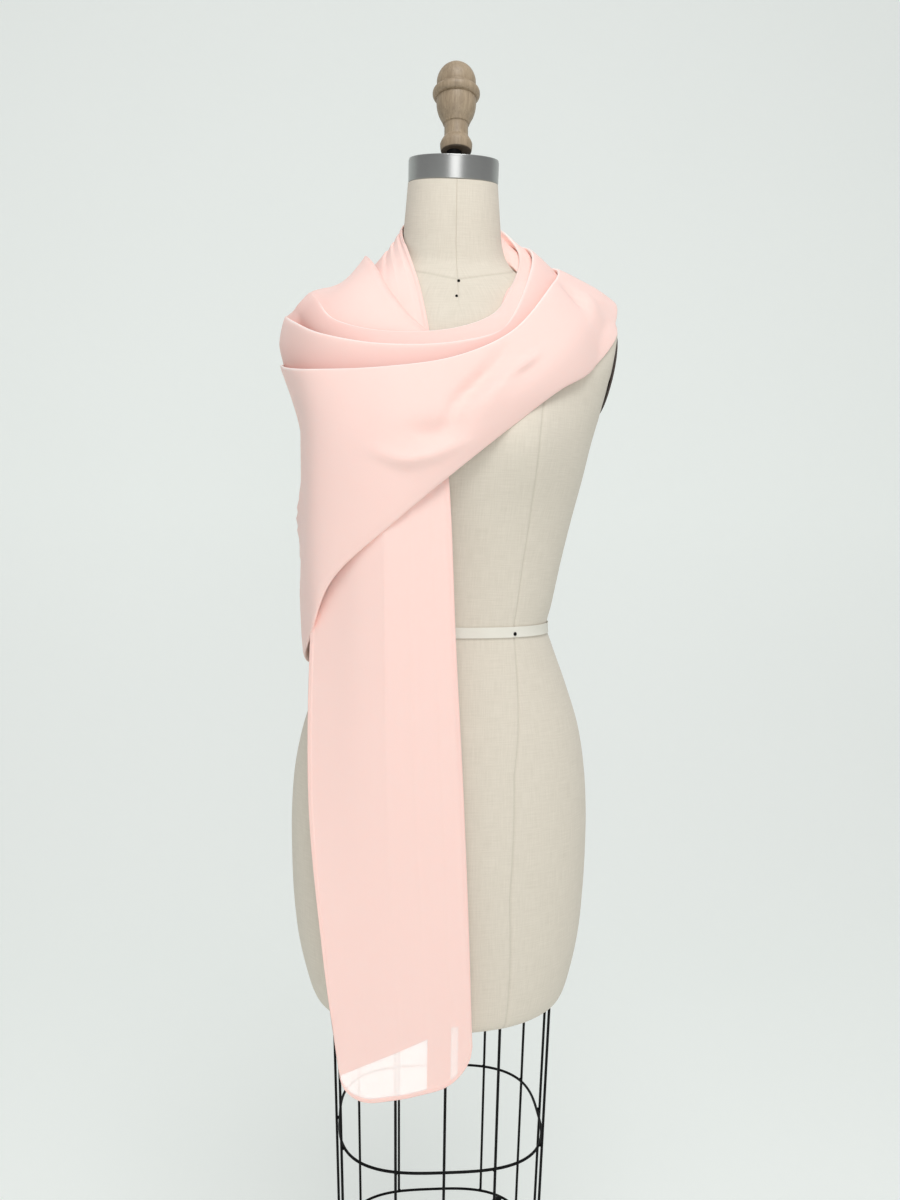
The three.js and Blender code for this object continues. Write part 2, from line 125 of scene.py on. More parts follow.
# Level sections of the form: height, half width, depth in front and behind the axis
FORM_SECTIONS = [
    (0.632, 0.130, 0.112, 0.138), (0.636, 0.136, 0.115, 0.142), (0.645, 0.141, 0.117, 0.144),
    (0.668, 0.148, 0.119, 0.147), (0.706, 0.156, 0.121, 0.150), (0.752, 0.1605, 0.123, 0.151),
    (0.800, 0.1625, 0.123, 0.150), (0.845, 0.1625, 0.121, 0.146), (0.891, 0.159, 0.118, 0.138),
    (0.936, 0.1505, 0.113, 0.125), (0.982, 0.135, 0.106, 0.108), (1.026, 0.118, 0.099, 0.095),
    (1.044, 0.112, 0.097, 0.092), (1.071, 0.117, 0.098, 0.092), (1.116, 0.125, 0.103, 0.096),
    (1.160, 0.134, 0.111, 0.103), (1.204, 0.144, 0.119, 0.110), (1.248, 0.1535, 0.121, 0.116),
    (1.292, 0.167, 0.112, 0.120), (1.336, 0.186, 0.096, 0.118), (1.358, 0.186, 0.086, 0.112),
    (1.372, 0.174, 0.077, 0.104), (1.383, 0.156, 0.071, 0.097), (1.394, 0.130, 0.066, 0.090),
    (1.405, 0.103, 0.061, 0.082), (1.418, 0.077, 0.057, 0.074), (1.432, 0.061, 0.054, 0.066),
    (1.450, 0.054, 0.054, 0.058), (1.478, 0.051, 0.055, 0.049), (NECK_TOP, 0.048, 0.055, 0.042),
]
# Stretches of the torso's rows, closer at the lower rim and at the neck seam: from, to and how many
TORSO_ROWS = [(0.632, 0.650, 10), (0.650, 1.395, 170), (1.395, 1.448, 54), (1.448, NECK_TOP, 16)]
# How far the form's middle sits to the right of the origin at each height
FORM_LEAN = [
    (0.632, -0.004), (0.75, -0.0055), (0.89, -0.0055), (1.04, -0.003), (1.28, 0.002), (1.39, 0.002),
    (1.45, 0.0)]
# Seams beside the centre lines, as height and share of the half width
FRONT_SEAM = [
    (0.632, 0.45), (0.773, 0.40), (0.90, 0.43), (1.04, 0.59), (1.15, 0.57), (1.237, 0.52), (1.32, 0.50),
    (1.39, 0.55), (1.53, 0.55)]
BACK_SEAM = [(0.632, 0.45), (0.80, 0.42), (1.04, 0.52), (1.25, 0.50), (1.39, 0.50), (1.53, 0.50)]
SEAM_TOP = (1.385, 1.40)
CENTRE_SEAM = (1.37, 1.39)

# The stole's long lines from the nape across the chest and down the back.
# Places: nape, right blade, right crest, right collar, right chest, breastbone, left chest, left collar,
# left flank, left side, left blade, back fall, back hem.
WRAP_LINES = {
    "upper_edge": [
        (0.000, 0.056, 1.478), (0.041, 0.037, 1.476), (0.0565, 0.008, 1.444), (0.050, -0.067, 1.385),
        (0.033, -0.087, 1.350), (-0.005, -0.098, 1.331), (-0.042, -0.092, 1.354), (-0.066, -0.077, 1.384),
        (-0.083, -0.041, 1.420), (-0.092, 0.014, 1.441), (-0.080, 0.074, 1.432), (-0.036, 0.128, 1.370),
        (-0.008, 0.138, 0.890)],
    "shoulder_dip": [
        (0.000, 0.061, 1.484), (0.045, 0.041, 1.482), (0.064, 0.012, 1.451), (0.051, -0.069, 1.388),
        (0.034, -0.089, 1.355), (-0.005, -0.099, 1.336), (-0.058, -0.096, 1.347), (-0.095, -0.084, 1.366),
        (-0.112, -0.054, 1.393), (-0.117, 0.010, 1.412), (-0.102, 0.078, 1.418), (-0.044, 0.131, 1.356),
        (-0.016, 0.139, 0.889)],
    "upper_fold": [
        (0.000, 0.066, 1.488), (0.050, 0.045, 1.487), (0.073, 0.016, 1.456), (0.054, -0.076, 1.392),
        (0.036, -0.095, 1.364), (-0.005, -0.106, 1.346), (-0.075, -0.103, 1.342), (-0.122, -0.089, 1.354),
        (-0.141, -0.055, 1.379), (-0.151, 0.003, 1.399), (-0.125, 0.078, 1.408), (-0.052, 0.133, 1.340),
        (-0.024, 0.140, 0.888)],
    "middle_fold": [
        (0.000, 0.077, 1.470), (0.059, 0.056, 1.464), (0.084, 0.016, 1.457), (0.073, -0.071, 1.404),
        (0.042, -0.108, 1.347), (-0.005, -0.117, 1.331), (-0.079, -0.114, 1.328), (-0.137, -0.092, 1.340),
        (-0.165, -0.055, 1.357), (-0.176, -0.002, 1.372), (-0.150, 0.084, 1.376), (-0.066, 0.134, 1.290),
        (-0.040, 0.141, 0.886)],
    "lower_fold": [
        (0.000, 0.084, 1.452), (0.071, 0.066, 1.440), (0.113, 0.008, 1.434), (0.091, -0.084, 1.390),
        (0.050, -0.117, 1.342), (-0.005, -0.130, 1.315), (-0.077, -0.130, 1.303), (-0.145, -0.102, 1.303),
        (-0.171, -0.057, 1.310), (-0.181, -0.006, 1.320), (-0.160, 0.088, 1.322), (-0.082, 0.132, 1.210),
        (-0.058, 0.141, 0.884)],
    "upper_panel": [
        (0.000, 0.089, 1.437), (0.083, 0.073, 1.420), (0.140, 0.012, 1.424), (0.112, -0.086, 1.372),
        (0.064, -0.123, 1.320), (0.000, -0.140, 1.285), (-0.072, -0.148, 1.258), (-0.138, -0.115, 1.250),
        (-0.156, -0.066, 1.252), (-0.162, 0.000, 1.256), (-0.154, 0.084, 1.240), (-0.096, 0.128, 1.110),
        (-0.078, 0.140, 0.882)],
    "lower_panel": [
        (0.000, 0.093, 1.424), (0.097, 0.078, 1.403), (0.162, 0.008, 1.412), (0.130, -0.086, 1.350),
        (0.080, -0.124, 1.300), (0.010, -0.148, 1.252), (-0.066, -0.153, 1.205), (-0.130, -0.124, 1.172),
        (-0.152, -0.076, 1.085), (-0.160, 0.000, 1.085), (-0.147, 0.080, 1.085), (-0.112, 0.122, 1.010),
        (-0.098, 0.139, 0.880)],
    "lower_edge": [
        (0.000, 0.097, 1.408), (0.111, 0.083, 1.385), (0.179, 0.004, 1.399), (0.141, -0.076, 1.315),
        (0.099, -0.109, 1.287), (0.021, -0.136, 1.226), (-0.060, -0.147, 1.158), (-0.123, -0.125, 1.098),
        (-0.1445, -0.0995, 1.041), (-0.154, 0.002, 1.004), (-0.142, 0.068, 0.985), (-0.128, 0.118, 0.930),
        (-0.118, 0.138, 0.878)],
}
# The stole's lines from the nape round the left of the neck and down the front tail
TAIL_LINES = {
    "right_edge": [
        (0.000, 0.066, 1.490), (-0.036, 0.050, 1.490), (-0.052, 0.014, 1.474), (-0.051, -0.022, 1.450),
        (-0.046, -0.050, 1.426), (-0.037, -0.070, 1.392), (-0.029, -0.095, 1.346), (-0.018, -0.126, 1.262),
        (-0.010, -0.136, 1.190), (-0.002, -0.142, 1.040), (0.008, -0.144, 0.880), (0.015, -0.145, 0.740),
        (0.020, -0.146, 0.600)],
    "middle": [
        (0.000, 0.084, 1.454), (-0.046, 0.068, 1.455), (-0.068, 0.020, 1.450), (-0.074, -0.030, 1.424),
        (-0.073, -0.059, 1.401), (-0.073, -0.079, 1.370), (-0.076, -0.098, 1.330), (-0.076, -0.127, 1.256),
        (-0.076, -0.139, 1.190), (-0.074, -0.144, 1.040), (-0.070, -0.146, 0.880), (-0.060, -0.147, 0.738),
        (-0.048, -0.148, 0.585)],
    "left_edge": [
        (0.000, 0.097, 1.410), (-0.057, 0.078, 1.416), (-0.084, 0.026, 1.428), (-0.096, -0.026, 1.405),
        (-0.103, -0.060, 1.381), (-0.112, -0.083, 1.345), (-0.122, -0.091, 1.310), (-0.132, -0.094, 1.250),
        (-0.136, -0.096, 1.180), (-0.1445, -0.101, 1.050), (-0.145, -0.120, 0.880), (-0.131, -0.138, 0.735),
        (-0.112, -0.145, 0.578)],
}
# Where each long line of the wrap runs across the width of the tail
TAIL_SHARES = (0.0, 0.06, 0.14, 0.31, 0.50, 0.66, 0.82, 0.97)
# The tables below have one value for each place from the front hem over the nape to the back hem.
MM = 0.001
# Pleats, in millimetres: how far each is tucked behind its fold or edge, below zero where it has opened out,
# and how far it is set in towards the form
PLEATS = {
    "upper_fold": {
        "tuck": [-4] * 9 + [-3, 0, 2, 3, 4, 5, 6, 6, 6, 7, 6, 1] + [-4] * 4,
        "inset": [0.2] * 8 + [0.4, 1, 2, 3, 4, 5, 6, 6, 6, 7, 8, 7, 3, 1.2, 1, 1, 0.6]},
    "middle_fold": {
        "tuck": [-4] * 9 + [-3, 0, 2, 4, 5, 7, 9, 10, 11, 12, 11, 6, -1] + [-4] * 3,
        "inset": [0.2] * 8 + [0.4, 1, 2, 3, 4, 5, 6, 7, 7, 7, 8, 8, 7, 3, 2, 1.2, 0.6]},
    "lower_fold": {
        "tuck": [-4] * 9 + [-3, 0, 2, 5, 6, 8, 11, 14, 18, 21, 19, 10, 2, -3, -4, -4],
        "inset": [0.2] * 8 + [0.4, 1, 2, 3, 4, 5, 7, 7, 7, 8, 10, 10, 5, 2.5, 2, 1.2, 0.6]},
    "lower_edge": {
        "tuck": [-4] * 9 + [-2, 2, 5, 6, 6, 8, 10, 12, 12, 12, 10, 8, 6, 4, 0, -4],
        "inset": [0.2] * 7 + [0.4, 0.6, 1, 2, 2, 2, 2, 2, 2.5, 3, 3, 3, 2.5, 2, 2, 2, 1.5, 1]},
}
# How far the cloth swells out above each fold's valley, in millimetres
FOLD_SWELL = {
    "middle_fold": [3.5] * 18 + [4, 5, 5] + [3.5] * 4,
    "lower_fold": [1.5] * 16 + [1, 0, -1.5, -2, 2, 6, 5, 2, 1.5],
}
# How strongly shade is painted into the colour in each fold's valley
PAINTED_VALLEY_SHADE = {
    "middle_fold": [0] * 15 + [0.1, 0.2, 0.3, 0.5, 1, 1, 0.3, 0, 0, 0],
    "lower_fold": [0] * 14 + [0.1, 0.4, 0.7, 0.85, 1, 1, 0.8, 0.3, 0, 0, 0],
}
TAIL_PLACES = 12
LAST_PLACE = 24
# Where the rounding of the end corners fades out, and how fast
FRONT_CORNER_END = 4.4
BACK_CORNER_START = 23
CORNER_POWER = 6
# Lines across the folded stole, counted from the upper edge: steps of the grid from each to the next,
# fold rims, valleys, and the lines that lie inside a pleat
SECTION_STEPS = [6, 8, 4, 5, 5, 6, 4, 5, 6, 7, 5, 5, 14, 14, 14, 5, 5]
RIM_SECTIONS = {"upper_fold": 4, "middle_fold": 8, "lower_fold": 12}
VALLEY_SECTIONS = {"middle_fold": 6, "lower_fold": 10}
INNER_SECTIONS = (2, 3, 7, 11, 16, 17)

# Cage and stand
WIRE = 0.003
HOOP_POWER = 3
UPPER_HOOP = {"height": 0.475, "half_wide": 0.114, "half_deep": 0.110}
LOWER_HOOP = {"height": 0.315, "half_wide": 0.109, "half_deep": 0.106}
CAGE_CENTRE = 0.011
WIRE_TOP = 0.6317
WIRE_ANGLES = (-1.5, 25, 58, 92, 124, 149, 172, 201, 226, 270, 299, 334)
WIRE_LIFT = 0.0036
BASE_RADIUS = 0.210
BASE_EDGE = 0.003
BASE_RIM = 0.010
BASE_TOP = 0.018
BASE_TOP_EDGE = 0.0012
POST_RADIUS = 0.013
HUB_RADIUS = 0.024
ARM_RADIUS = 0.004
ARM_ROOT = 0.0245
ARM_GAP = 0.0014
JOIN_REACH = 0.00002


def smooth_through(points, places):
    """Smooth line through given points, read at places that count from point to point."""
    points = np.asarray(points, float)
    places = np.asarray(places, float)
    padded = np.concatenate([[2 * points[0] - points[1]], points, [2 * points[-1] - points[-2]]])
    start = np.clip(np.floor(places).astype(int), 0, len(points) - 2)
    share = (places - start).reshape((-1,) + (1,) * (points.ndim - 1))
    before, low, high, after = (padded[start + step] for step in range(4))

    def knot(a, b):
        return np.sqrt(np.maximum(np.linalg.norm(b - a, axis=-1, keepdims=True), 1e-7))

    first, middle, last = knot(before, low), knot(low, high), knot(high, after)
    leave = ((low - before) / first - (high - before) / (first + middle) + (high - low) / middle) * middle
    arrive = ((high - low) / middle - (after - low) / (middle + last) + (after - high) / last) * middle
    square = -3 * low + 3 * high - 2 * leave - arrive
    cube = 2 * low - 2 * high + leave + arrive
    return low + leave * share + square * share**2 + cube * share**3


def smoothstep(value, start, end):
    share = np.clip((value - start) / (end - start), 0, 1)
    return share * share * (3 - 2 * share)


def unit(vectors):
    return vectors / np.maximum(np.linalg.norm(vectors, axis=-1, keepdims=True), 1e-9)


FORM_CURVE = smooth_through(FORM_SECTIONS, np.linspace(0, len(FORM_SECTIONS) - 1, 900))


def form_section(height):
    """Half width, front depth and back depth of the form."""
    return [np.interp(height, FORM_CURVE[:, 0], FORM_CURVE[:, column]) for column in (1, 2, 3)]


def form_lean(height):
    return np.interp(height, *zip(*FORM_LEAN))


def bust_reach(across, height):
    side = (np.abs(across) - BUST["across"]) / BUST["width"]
    rise = (height - BUST["height"]) / BUST["tall"]
    return BUST["reach"] * np.exp(-side * side - rise * rise)


def armhole_reach(height):
    reach = ARMHOLE["reach"] + (height - ARMHOLE["low"]) * ARMHOLE["slope"]
    return np.where((height > ARMHOLE["low"]) & (height < ARMHOLE["top"]), reach, FAR)


def form_point(angle, height, lift):
    """Points of the form at an angle from the front, moved out by a lift."""
    wide, front, back = form_section(height)
    sine, cosine = np.sin(angle), np.cos(angle)
    deep = np.where(cosine > 0, front, back) + lift
    total = np.abs(sine / (wide + lift)) ** SECTION_POWER + np.abs(cosine / deep) ** SECTION_POWER
    radius = total ** (-1 / SECTION_POWER)
    x, y = radius * sine, -radius * cosine
    reach = armhole_reach(height) + lift
    near = np.clip(0.5 + 0.5 * (reach - np.abs(x)) / ARMHOLE["soft"], 0, 1)
    limited = reach * (1 - near) + np.abs(x) * near - ARMHOLE["soft"] * near * (1 - near)
    x = np.sign(x) * limited
    y = y - np.where(cosine > 0, bust_reach(x, height) * np.minimum(1, BUST["fade"] * cosine), 0)
    tilt = NECK_TILT * smoothstep(height, NECK_TILT_START, NECK_TILT_FULL)
    return np.stack([x + form_lean(height), y, height + tilt * (y - NECK_CENTRE)], -1)


def clear_of_form(points, gap):
    """Pushes points of the cloth out until they clear the form by a gap."""
    height = points[..., 2]
    lean = form_lean(height)
    across, back_way = points[..., 0] - lean, points[..., 1]
    wide, front, back = form_section(height)
    deep = np.where(back_way < 0, front + bust_reach(across, height), back) + gap
    inside = np.abs(across / (wide + gap)) ** SECTION_POWER + np.abs(back_way / deep) ** SECTION_POWER
    grow = np.where(inside < 1, np.maximum(inside, 1e-6) ** (-1 / SECTION_POWER), 1)
    face = armhole_reach(height) + PLATE_THICK + SEAM_GAP + gap
    beside_plate = np.abs(across * grow) > face
    pushed_x = np.where(beside_plate, np.sign(across) * np.maximum(face, np.abs(across)), across * grow)
    pushed_y = np.where(beside_plate, back_way, back_way * grow)
    return np.stack([pushed_x + lean, pushed_y, height], -1)


def seam_angle(height, seam, depth_column):
    """Angle from the front, or from the back, at which a seam lies on the form."""
    share = np.interp(height, *zip(*seam))
    section = form_section(height)
    x = share * section[0]
    y = section[depth_column] * (1 - share**SECTION_POWER) ** (1 / SECTION_POWER)
    return np.arctan2(x, y)


class Socket:
    """A node socket that takes part in sums and products, which add Math nodes."""

    def __init__(self, finish, socket):
        self.finish = finish
        self.socket = socket

    def math(self, operation, first, second):
        return self.finish.add("Math", {"operation": operation}, {0: first, 1: second})

    def __add__(self, other):
        return self.math("ADD", self, other)

    def __radd__(self, other):
        return self.math("ADD", other, self)

    def __sub__(self, other):
        return self.math("SUBTRACT", self, other)

    def __rsub__(self, other):
        return self.math("SUBTRACT", other, self)

    def __mul__(self, other):
        return self.math("MULTIPLY", self, other)

    def __rmul__(self, other):
        return self.math("MULTIPLY", other, self)

    def __gt__(self, other):
        return self.math("GREATER_THAN", self, other)


class Finish:
    """A material and the one way to add nodes to it."""

    def __init__(self, name):
        self.material = bpy.data.materials.new(name)
        self.material.use_nodes = True
        self.nodes = self.material.node_tree.nodes
        self.links = self.material.node_tree.links
        self.nodes.clear()

    def add(self, kind, settings=None, inputs=None, output=0):
        node = self.nodes.new("ShaderNode" + kind)
        for name, value in (settings or {}).items():
            if name == "stops":
                for index, (place, colour) in enumerate(value):
                    stops = node.color_ramp.elements
                    stop = stops[index] if index < 2 else stops.new(place)
                    stop.position = place
                    stop.color = (*colour, 1)
            else:
                setattr(node, name, value)
        for key, value in (inputs or {}).items():
            if isinstance(value, Socket):
                self.links.new(value.socket, node.inputs[key])
            else:
                node.inputs[key].default_value = value
        return Socket(self, node.outputs[output])

    def mix(self, share, first, second):
        colours = {}
        for key, colour in ((6, first), (7, second)):
            colours[key] = colour if isinstance(colour, Socket) else (*colour, 1)
        return self.add("Mix", {"data_type": "RGBA"}, {0: share, **colours}, output=2)

    def parts(self, vector):
        return [self.add("SeparateXYZ", None, {0: vector}, output=axis) for axis in range(3)]

    def vector(self, x, y, z):
        return self.add("CombineXYZ", None, {0: x, 1: y, 2: z})

    def noise(self, vector, scale, detail=2.0, roughness=0.5):
        inputs = {"Vector": vector, "Scale": scale, "Detail": detail, "Roughness": roughness}
        return self.add("TexNoise", None, inputs)

    def place(self):
        """Object coordinates."""
        return self.add("TexCoord", output=3)

    def flat(self):
        """Coordinates on the laid-out piece, in metres."""
        return self.add("UVMap", {"uv_map": "flat"})

    def mark(self, name):
        return self.add("Attribute", {"attribute_name": name}, output=2)

    def turned_place(self, place, lean, scale=(1, 1, 1)):
        return self.add("Mapping", None, {"Vector": place, "Rotation": (lean, 0, 0), "Scale": scale})

    def sine(self, value):
        return self.add("Math", {"operation": "SINE"}, {0: value})

    def step(self, value, start, end):
        """Soft step from zero at the start to one at the end."""
        return self.add("MapRange", {"interpolation_type": "SMOOTHSTEP"}, {0: value, 1: start, 2: end})

    def surface(self, bump=None, height=0.0, strength=1.0, **inputs):
        values = {name.replace("_", " "): value for name, value in inputs.items()}
        if bump is not None:
            relief = {"Strength": strength, "Distance": height, "Height": bump}
            values["Normal"] = self.add("Bump", None, relief)
        shader = self.add("BsdfPrincipled", None, values)
        output = self.nodes.new("ShaderNodeOutputMaterial")
        self.links.new(shader.socket, output.inputs["Surface"])
        return self.material


def hem_window(finish):
    """One where the front tail is a single layer that shows what is behind it, zero where it is double."""
    x, _, z = finish.parts(finish.place())
    soft, right, slit_top = WINDOW["soft"], WINDOW["right"], WINDOW["slit_top"]
    slit_left, slit_right = WINDOW["slit"]
    over_slant = z - (WINDOW["height"] + (x - WINDOW["left"]) * WINDOW["slope"])
    corner = finish.step(over_slant, soft, -soft) * finish.step(x, right + soft / 2, right - soft / 2)
    from_left = finish.step(x, slit_left - soft / 2, slit_left + soft / 2)
    from_right = finish.step(x, slit_right + soft, slit_right - soft)
    below_top = finish.step(z, slit_top + soft, slit_top - soft)
    return corner + from_left * from_right * below_top * 0.6


def chiffon():
    """Thin pink cloth: fine yarns, faint streaks, a painted highlight on the fold rims, painted shade in the
    fold valleys, see-through in one layer with a paler colour and a faint glow painted in there.
    """
    finish = Finish("chiffon")
    flat = finish.flat()
    along, across, _ = finish.parts(flat)
    streaks = finish.noise(finish.vector(along * 4.0, across * 520.0, 0.0), 1.0, 3.0)
    cloud = finish.noise(flat, 9.0, 2.0)
    hem = finish.mark("hem")
    rim = finish.mark("rim")
    deep = finish.mark("deep")
    window = hem_window(finish) * (1.0 - hem)
    pale = finish.mix(cloud, (0.985, 0.690, 0.632), (0.990, 0.712, 0.656))
    streaked = finish.mix(streaks * 0.3, pale, (0.985, 0.665, 0.602))
    # Painted shade: the colour is darkened in the fold valleys by the deep mark.
    valley_shaded = finish.mix(deep * 0.9, streaked, (0.70, 0.42, 0.375))
    # Painted highlight: the colour is lightened along each fold's rim by the rim mark.
    rim_highlighted = finish.mix(rim * 0.8, valley_shaded, (1.0, 0.92, 0.895))
    # Painted light: where the tail is one layer, the colour is paled and a faint glow is emitted, as for
    # light coming through. The lower alpha there is real see-through.
    single = finish.mix(window, rim_highlighted, (1.0, 0.90, 0.875))
    colour = finish.mix(hem * 0.4, single, (0.97, 0.645, 0.585))
    painted_glow = finish.mix(window, (0, 0, 0), (0.15, 0.124, 0.117))
    yarns = finish.sine(along * 9000.0) * finish.sine(across * 9000.0)
    return finish.surface(
        bump=yarns * 0.5 + streaks, height=0.00008, strength=0.2, Base_Color=colour,
        Roughness=0.66 + cloud * 0.16, Alpha=1.0 - window * 0.37, Emission_Color=painted_glow,
        Emission_Strength=1.0, Sheen_Weight=0.1, Sheen_Roughness=0.45, Sheen_Tint=(1, 0.93, 0.9, 1), IOR=1.4,
        Subsurface_Weight=0.4, Subsurface_Scale=0.00012, Subsurface_Radius=(1, 0.8, 0.75),
        Specular_IOR_Level=0.3)


def linen():
    """Natural plain-weave linen with slubs and darker seams."""
    finish = Finish("linen")
    flat = finish.flat()
    along, up, _ = finish.parts(flat)
    warp = finish.noise(finish.vector(along * 900.0, up * 45.0, 0.0), 1.0, 2.0)
    weft = finish.noise(finish.vector(along * 45.0, up * 900.0, 3.0), 1.0, 2.0)
    speckle = finish.noise(flat, 520.0, 2.0)
    cloud = finish.noise(flat, 7.0, 3.0)
    seam = finish.mark("seam")
    thread = warp * 0.5 + weft * 0.5
    stops = [(0.32, (0.660, 0.602, 0.506)), (0.68, (0.750, 0.690, 0.590))]
    ground = finish.add("ValToRGB", {"stops": stops}, {0: thread})
    clouded = finish.mix(cloud * 0.2, ground, (0.660, 0.606, 0.508))
    flecked = finish.mix((speckle > 0.63) * 0.1, clouded, (0.55, 0.50, 0.39))
    colour = finish.mix(seam * 0.3, flecked, (0.40, 0.36, 0.28))
    yarns = finish.sine(along * 7000.0) * finish.sine(up * 7000.0)
    return finish.surface(
        bump=thread * 1.2 + yarns * 0.25, height=0.0003, strength=0.22, Base_Color=colour,
        Roughness=0.82 + speckle * 0.14, Sheen_Weight=0.1, Sheen_Roughness=0.6)


def cotton_tape():
    """Narrow woven cotton tape with fine lengthwise ribs."""
    finish = Finish("cotton_tape")
    flat = finish.flat()
    along, up, _ = finish.parts(flat)
    ribs = finish.sine(up * 5200.0)
    twill = finish.sine(along * 4200.0 + up * 4200.0)
    cloud = finish.noise(flat, 60.0, 3.0)
    colour = finish.mix(cloud * 0.6 + twill * 0.08, (0.82, 0.795, 0.715), (0.72, 0.69, 0.60))
    return finish.surface(
        bump=ribs + twill * 0.5, height=0.00012, strength=0.4, Base_Color=colour,
        Roughness=0.75 + cloud * 0.15)


def turned_wood():
    """Oiled hardwood with grain and pores along the finial, dark end grain at its foot."""
    finish = Finish("turned_wood")
    place = finish.place()
    grain_way = finish.turned_place(place, FINIAL_LEAN, (1, 1, 0.07))
    grain = finish.noise(grain_way, 420.0, 4.0, 0.6)
    bands = finish.noise(grain_way, 60.0, 2.0)
    pores = finish.noise(grain_way, 1500.0, 2.0)
    cloud = finish.noise(place, 45.0, 2.0)
    stops = [(0.3, (0.20, 0.145, 0.09)), (0.7, (0.44, 0.34, 0.23))]
    ground = finish.add("ValToRGB", {"stops": stops}, {0: grain * 0.55 + bands * 0.45})
    worn = finish.mix(cloud * 0.3, ground, (0.40, 0.315, 0.22))
    grained = finish.mix((pores > 0.62) * 0.35, worn, (0.10, 0.066, 0.04))
    _, _, level = finish.parts(finish.turned_place(place, FINIAL_LEAN))
    end_grain = finish.step(level, FINIAL_FOOT_LEVEL + 0.0012, FINIAL_FOOT_LEVEL + 0.0004)
    colour = finish.mix(end_grain * 0.8, grained, (0.035, 0.022, 0.014))
    return finish.surface(
        bump=grain * 0.6 - (pores > 0.62) * 0.4, height=0.00025, strength=0.3, Base_Color=colour,
        Roughness=0.38 + cloud * 0.2)


def brushed_steel():
    """Drawn steel, brushed round the neck, with a faint bloom."""
    finish = Finish("brushed_steel")
    place = finish.place()
    brush = finish.noise(finish.turned_place(place, -NECK_LEAN, (0.02, 0.02, 1)), 5200.0, 2.0)
    cloud = finish.noise(place, 30.0, 3.0)
    colour = finish.mix(brush * 0.4 + cloud * 0.4, (0.34, 0.345, 0.34), (0.46, 0.465, 0.455))
    return finish.surface(
        bump=brush, height=0.00004, strength=0.2, Base_Color=colour, Roughness=0.24 + brush * 0.14,
        Metallic=1.0)


def black_paint():
    """Satin black paint with fine orange peel and dust."""
    finish = Finish("black_paint")
    place = finish.place()
    peel = finish.noise(place, 900.0, 2.0)
    dust = finish.noise(place, 40.0, 4.0)
    colour = finish.mix(dust * 0.5, (0.002, 0.002, 0.0025), (0.008, 0.0078, 0.0078))
    return finish.surface(
        bump=peel, height=0.0001, strength=0.2, Base_Color=colour, Roughness=0.4 + dust * 0.2,
        Specular_IOR_Level=0.12)


def brown_paint():
    """Dark brown paint, a little rubbed."""
    finish = Finish("brown_paint")
    place = finish.place()
    peel = finish.noise(place, 700.0, 2.0)
    rubbed = finish.noise(place, 55.0, 4.0)
    colour = finish.mix(rubbed * 0.6, (0.030, 0.017, 0.013), (0.075, 0.047, 0.037))
    return finish.surface(
        bump=peel, height=0.00012, strength=0.2, Base_Color=colour, Roughness=0.45 + rubbed * 0.2)


def studio_paint():
    """Pale grey-green paper of the floor and the backdrop."""
    finish = Finish("studio_paper")
    place = finish.place()
    cloud = finish.noise(place, 2.5, 3.0)
    colour = finish.mix(cloud * 0.4, (0.74, 0.77, 0.75), (0.76, 0.785, 0.768))
    return finish.surface(
        Base_Color=colour, Roughness=0.9, Specular_IOR_Level=0.1, Emission_Color=colour,
        Emission_Strength=0.32)


FINISHES = {
    "chiffon": chiffon(), "linen": linen(), "tape": cotton_tape(), "wood": turned_wood(),
    "steel": brushed_steel(), "brown": brown_paint(), "black": black_paint(),
}


def piece(name, mesh, slot, *nodes, sharp=40.0):
    """Makes a piece of the object from a bmesh. It stands for CAD nodes and takes a finish."""
    data = bpy.data.meshes.new(name)
    mesh.to_mesh(data)
    mesh.free()
    data.shade_smooth()
    data.set_sharp_from_angle(angle=math.radians(sharp))
    made = bpy.data.objects.new(name, data)
    bpy.context.scene.collection.objects.link(made)
    data.materials.append(FINISHES[slot])
    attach(made, "root")
    if nodes:
        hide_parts(*nodes)
    return made


def placed_grid(places, flat=None, **marks):
    """A grid of vertices put at places[row, column], with a UV map in metres and marks on its vertices."""
    rows, columns = places.shape[:2]
    mesh = bmesh.new()
    bmesh.ops.create_grid(mesh, x_segments=columns - 1, y_segments=rows - 1, size=1)
    mesh.verts.ensure_lookup_table()
    where = []
    for vertex in mesh.verts:
        column = round((vertex.co.x + 1) / 2 * (columns - 1))
        row = round((vertex.co.y + 1) / 2 * (rows - 1))
        where.append((row, column))
    layers = [(mesh.verts.layers.float.new(name), values) for name, values in marks.items()]
    for vertex, spot in zip(mesh.verts, where):
        vertex.co = places[spot]
        for layer, values in layers:
            vertex[layer] = float(values[spot])
    if flat is not None:
        layer = mesh.loops.layers.uv.new("flat")
        for face in mesh.faces:
            for loop in face.loops:
                loop[layer].uv = flat[where[loop.vert.index]]
    return mesh


def close(mesh):
    """Joins meeting vertices and drops the faces that this flattens."""
    bmesh.ops.remove_doubles(mesh, verts=mesh.verts, dist=JOIN_REACH)
    bmesh.ops.dissolve_degenerate(mesh, dist=JOIN_REACH / 4, edges=mesh.edges)
    return mesh


def lengths(points, axis):
    """Running length of a grid of points along one axis."""
    steps = np.linalg.norm(np.diff(points, axis=axis), axis=-1)
    start = np.zeros_like(np.take(steps, [0], axis=axis))
    return np.concatenate([start, np.cumsum(steps, axis=axis)], axis=axis)


# Linen torso

def panel_shares():
    """Shares across one sewn panel, close together beside its seams, and the lift of the cloth there."""
    beside = np.array([0.0, 0.008, 0.018, 0.04])
    inner = np.linspace(0.08, 0.92, 15)
    shares = np.concatenate([beside, inner, (1 - beside)[::-1]])
    inset = np.minimum(shares, 1 - shares)
    dent = np.exp(-((inset / DENT_HALF) ** 2))
    puff = np.exp(-(((inset - PUFF_MIDDLE) / PUFF_HALF) ** 2))
    return shares, dent, puff


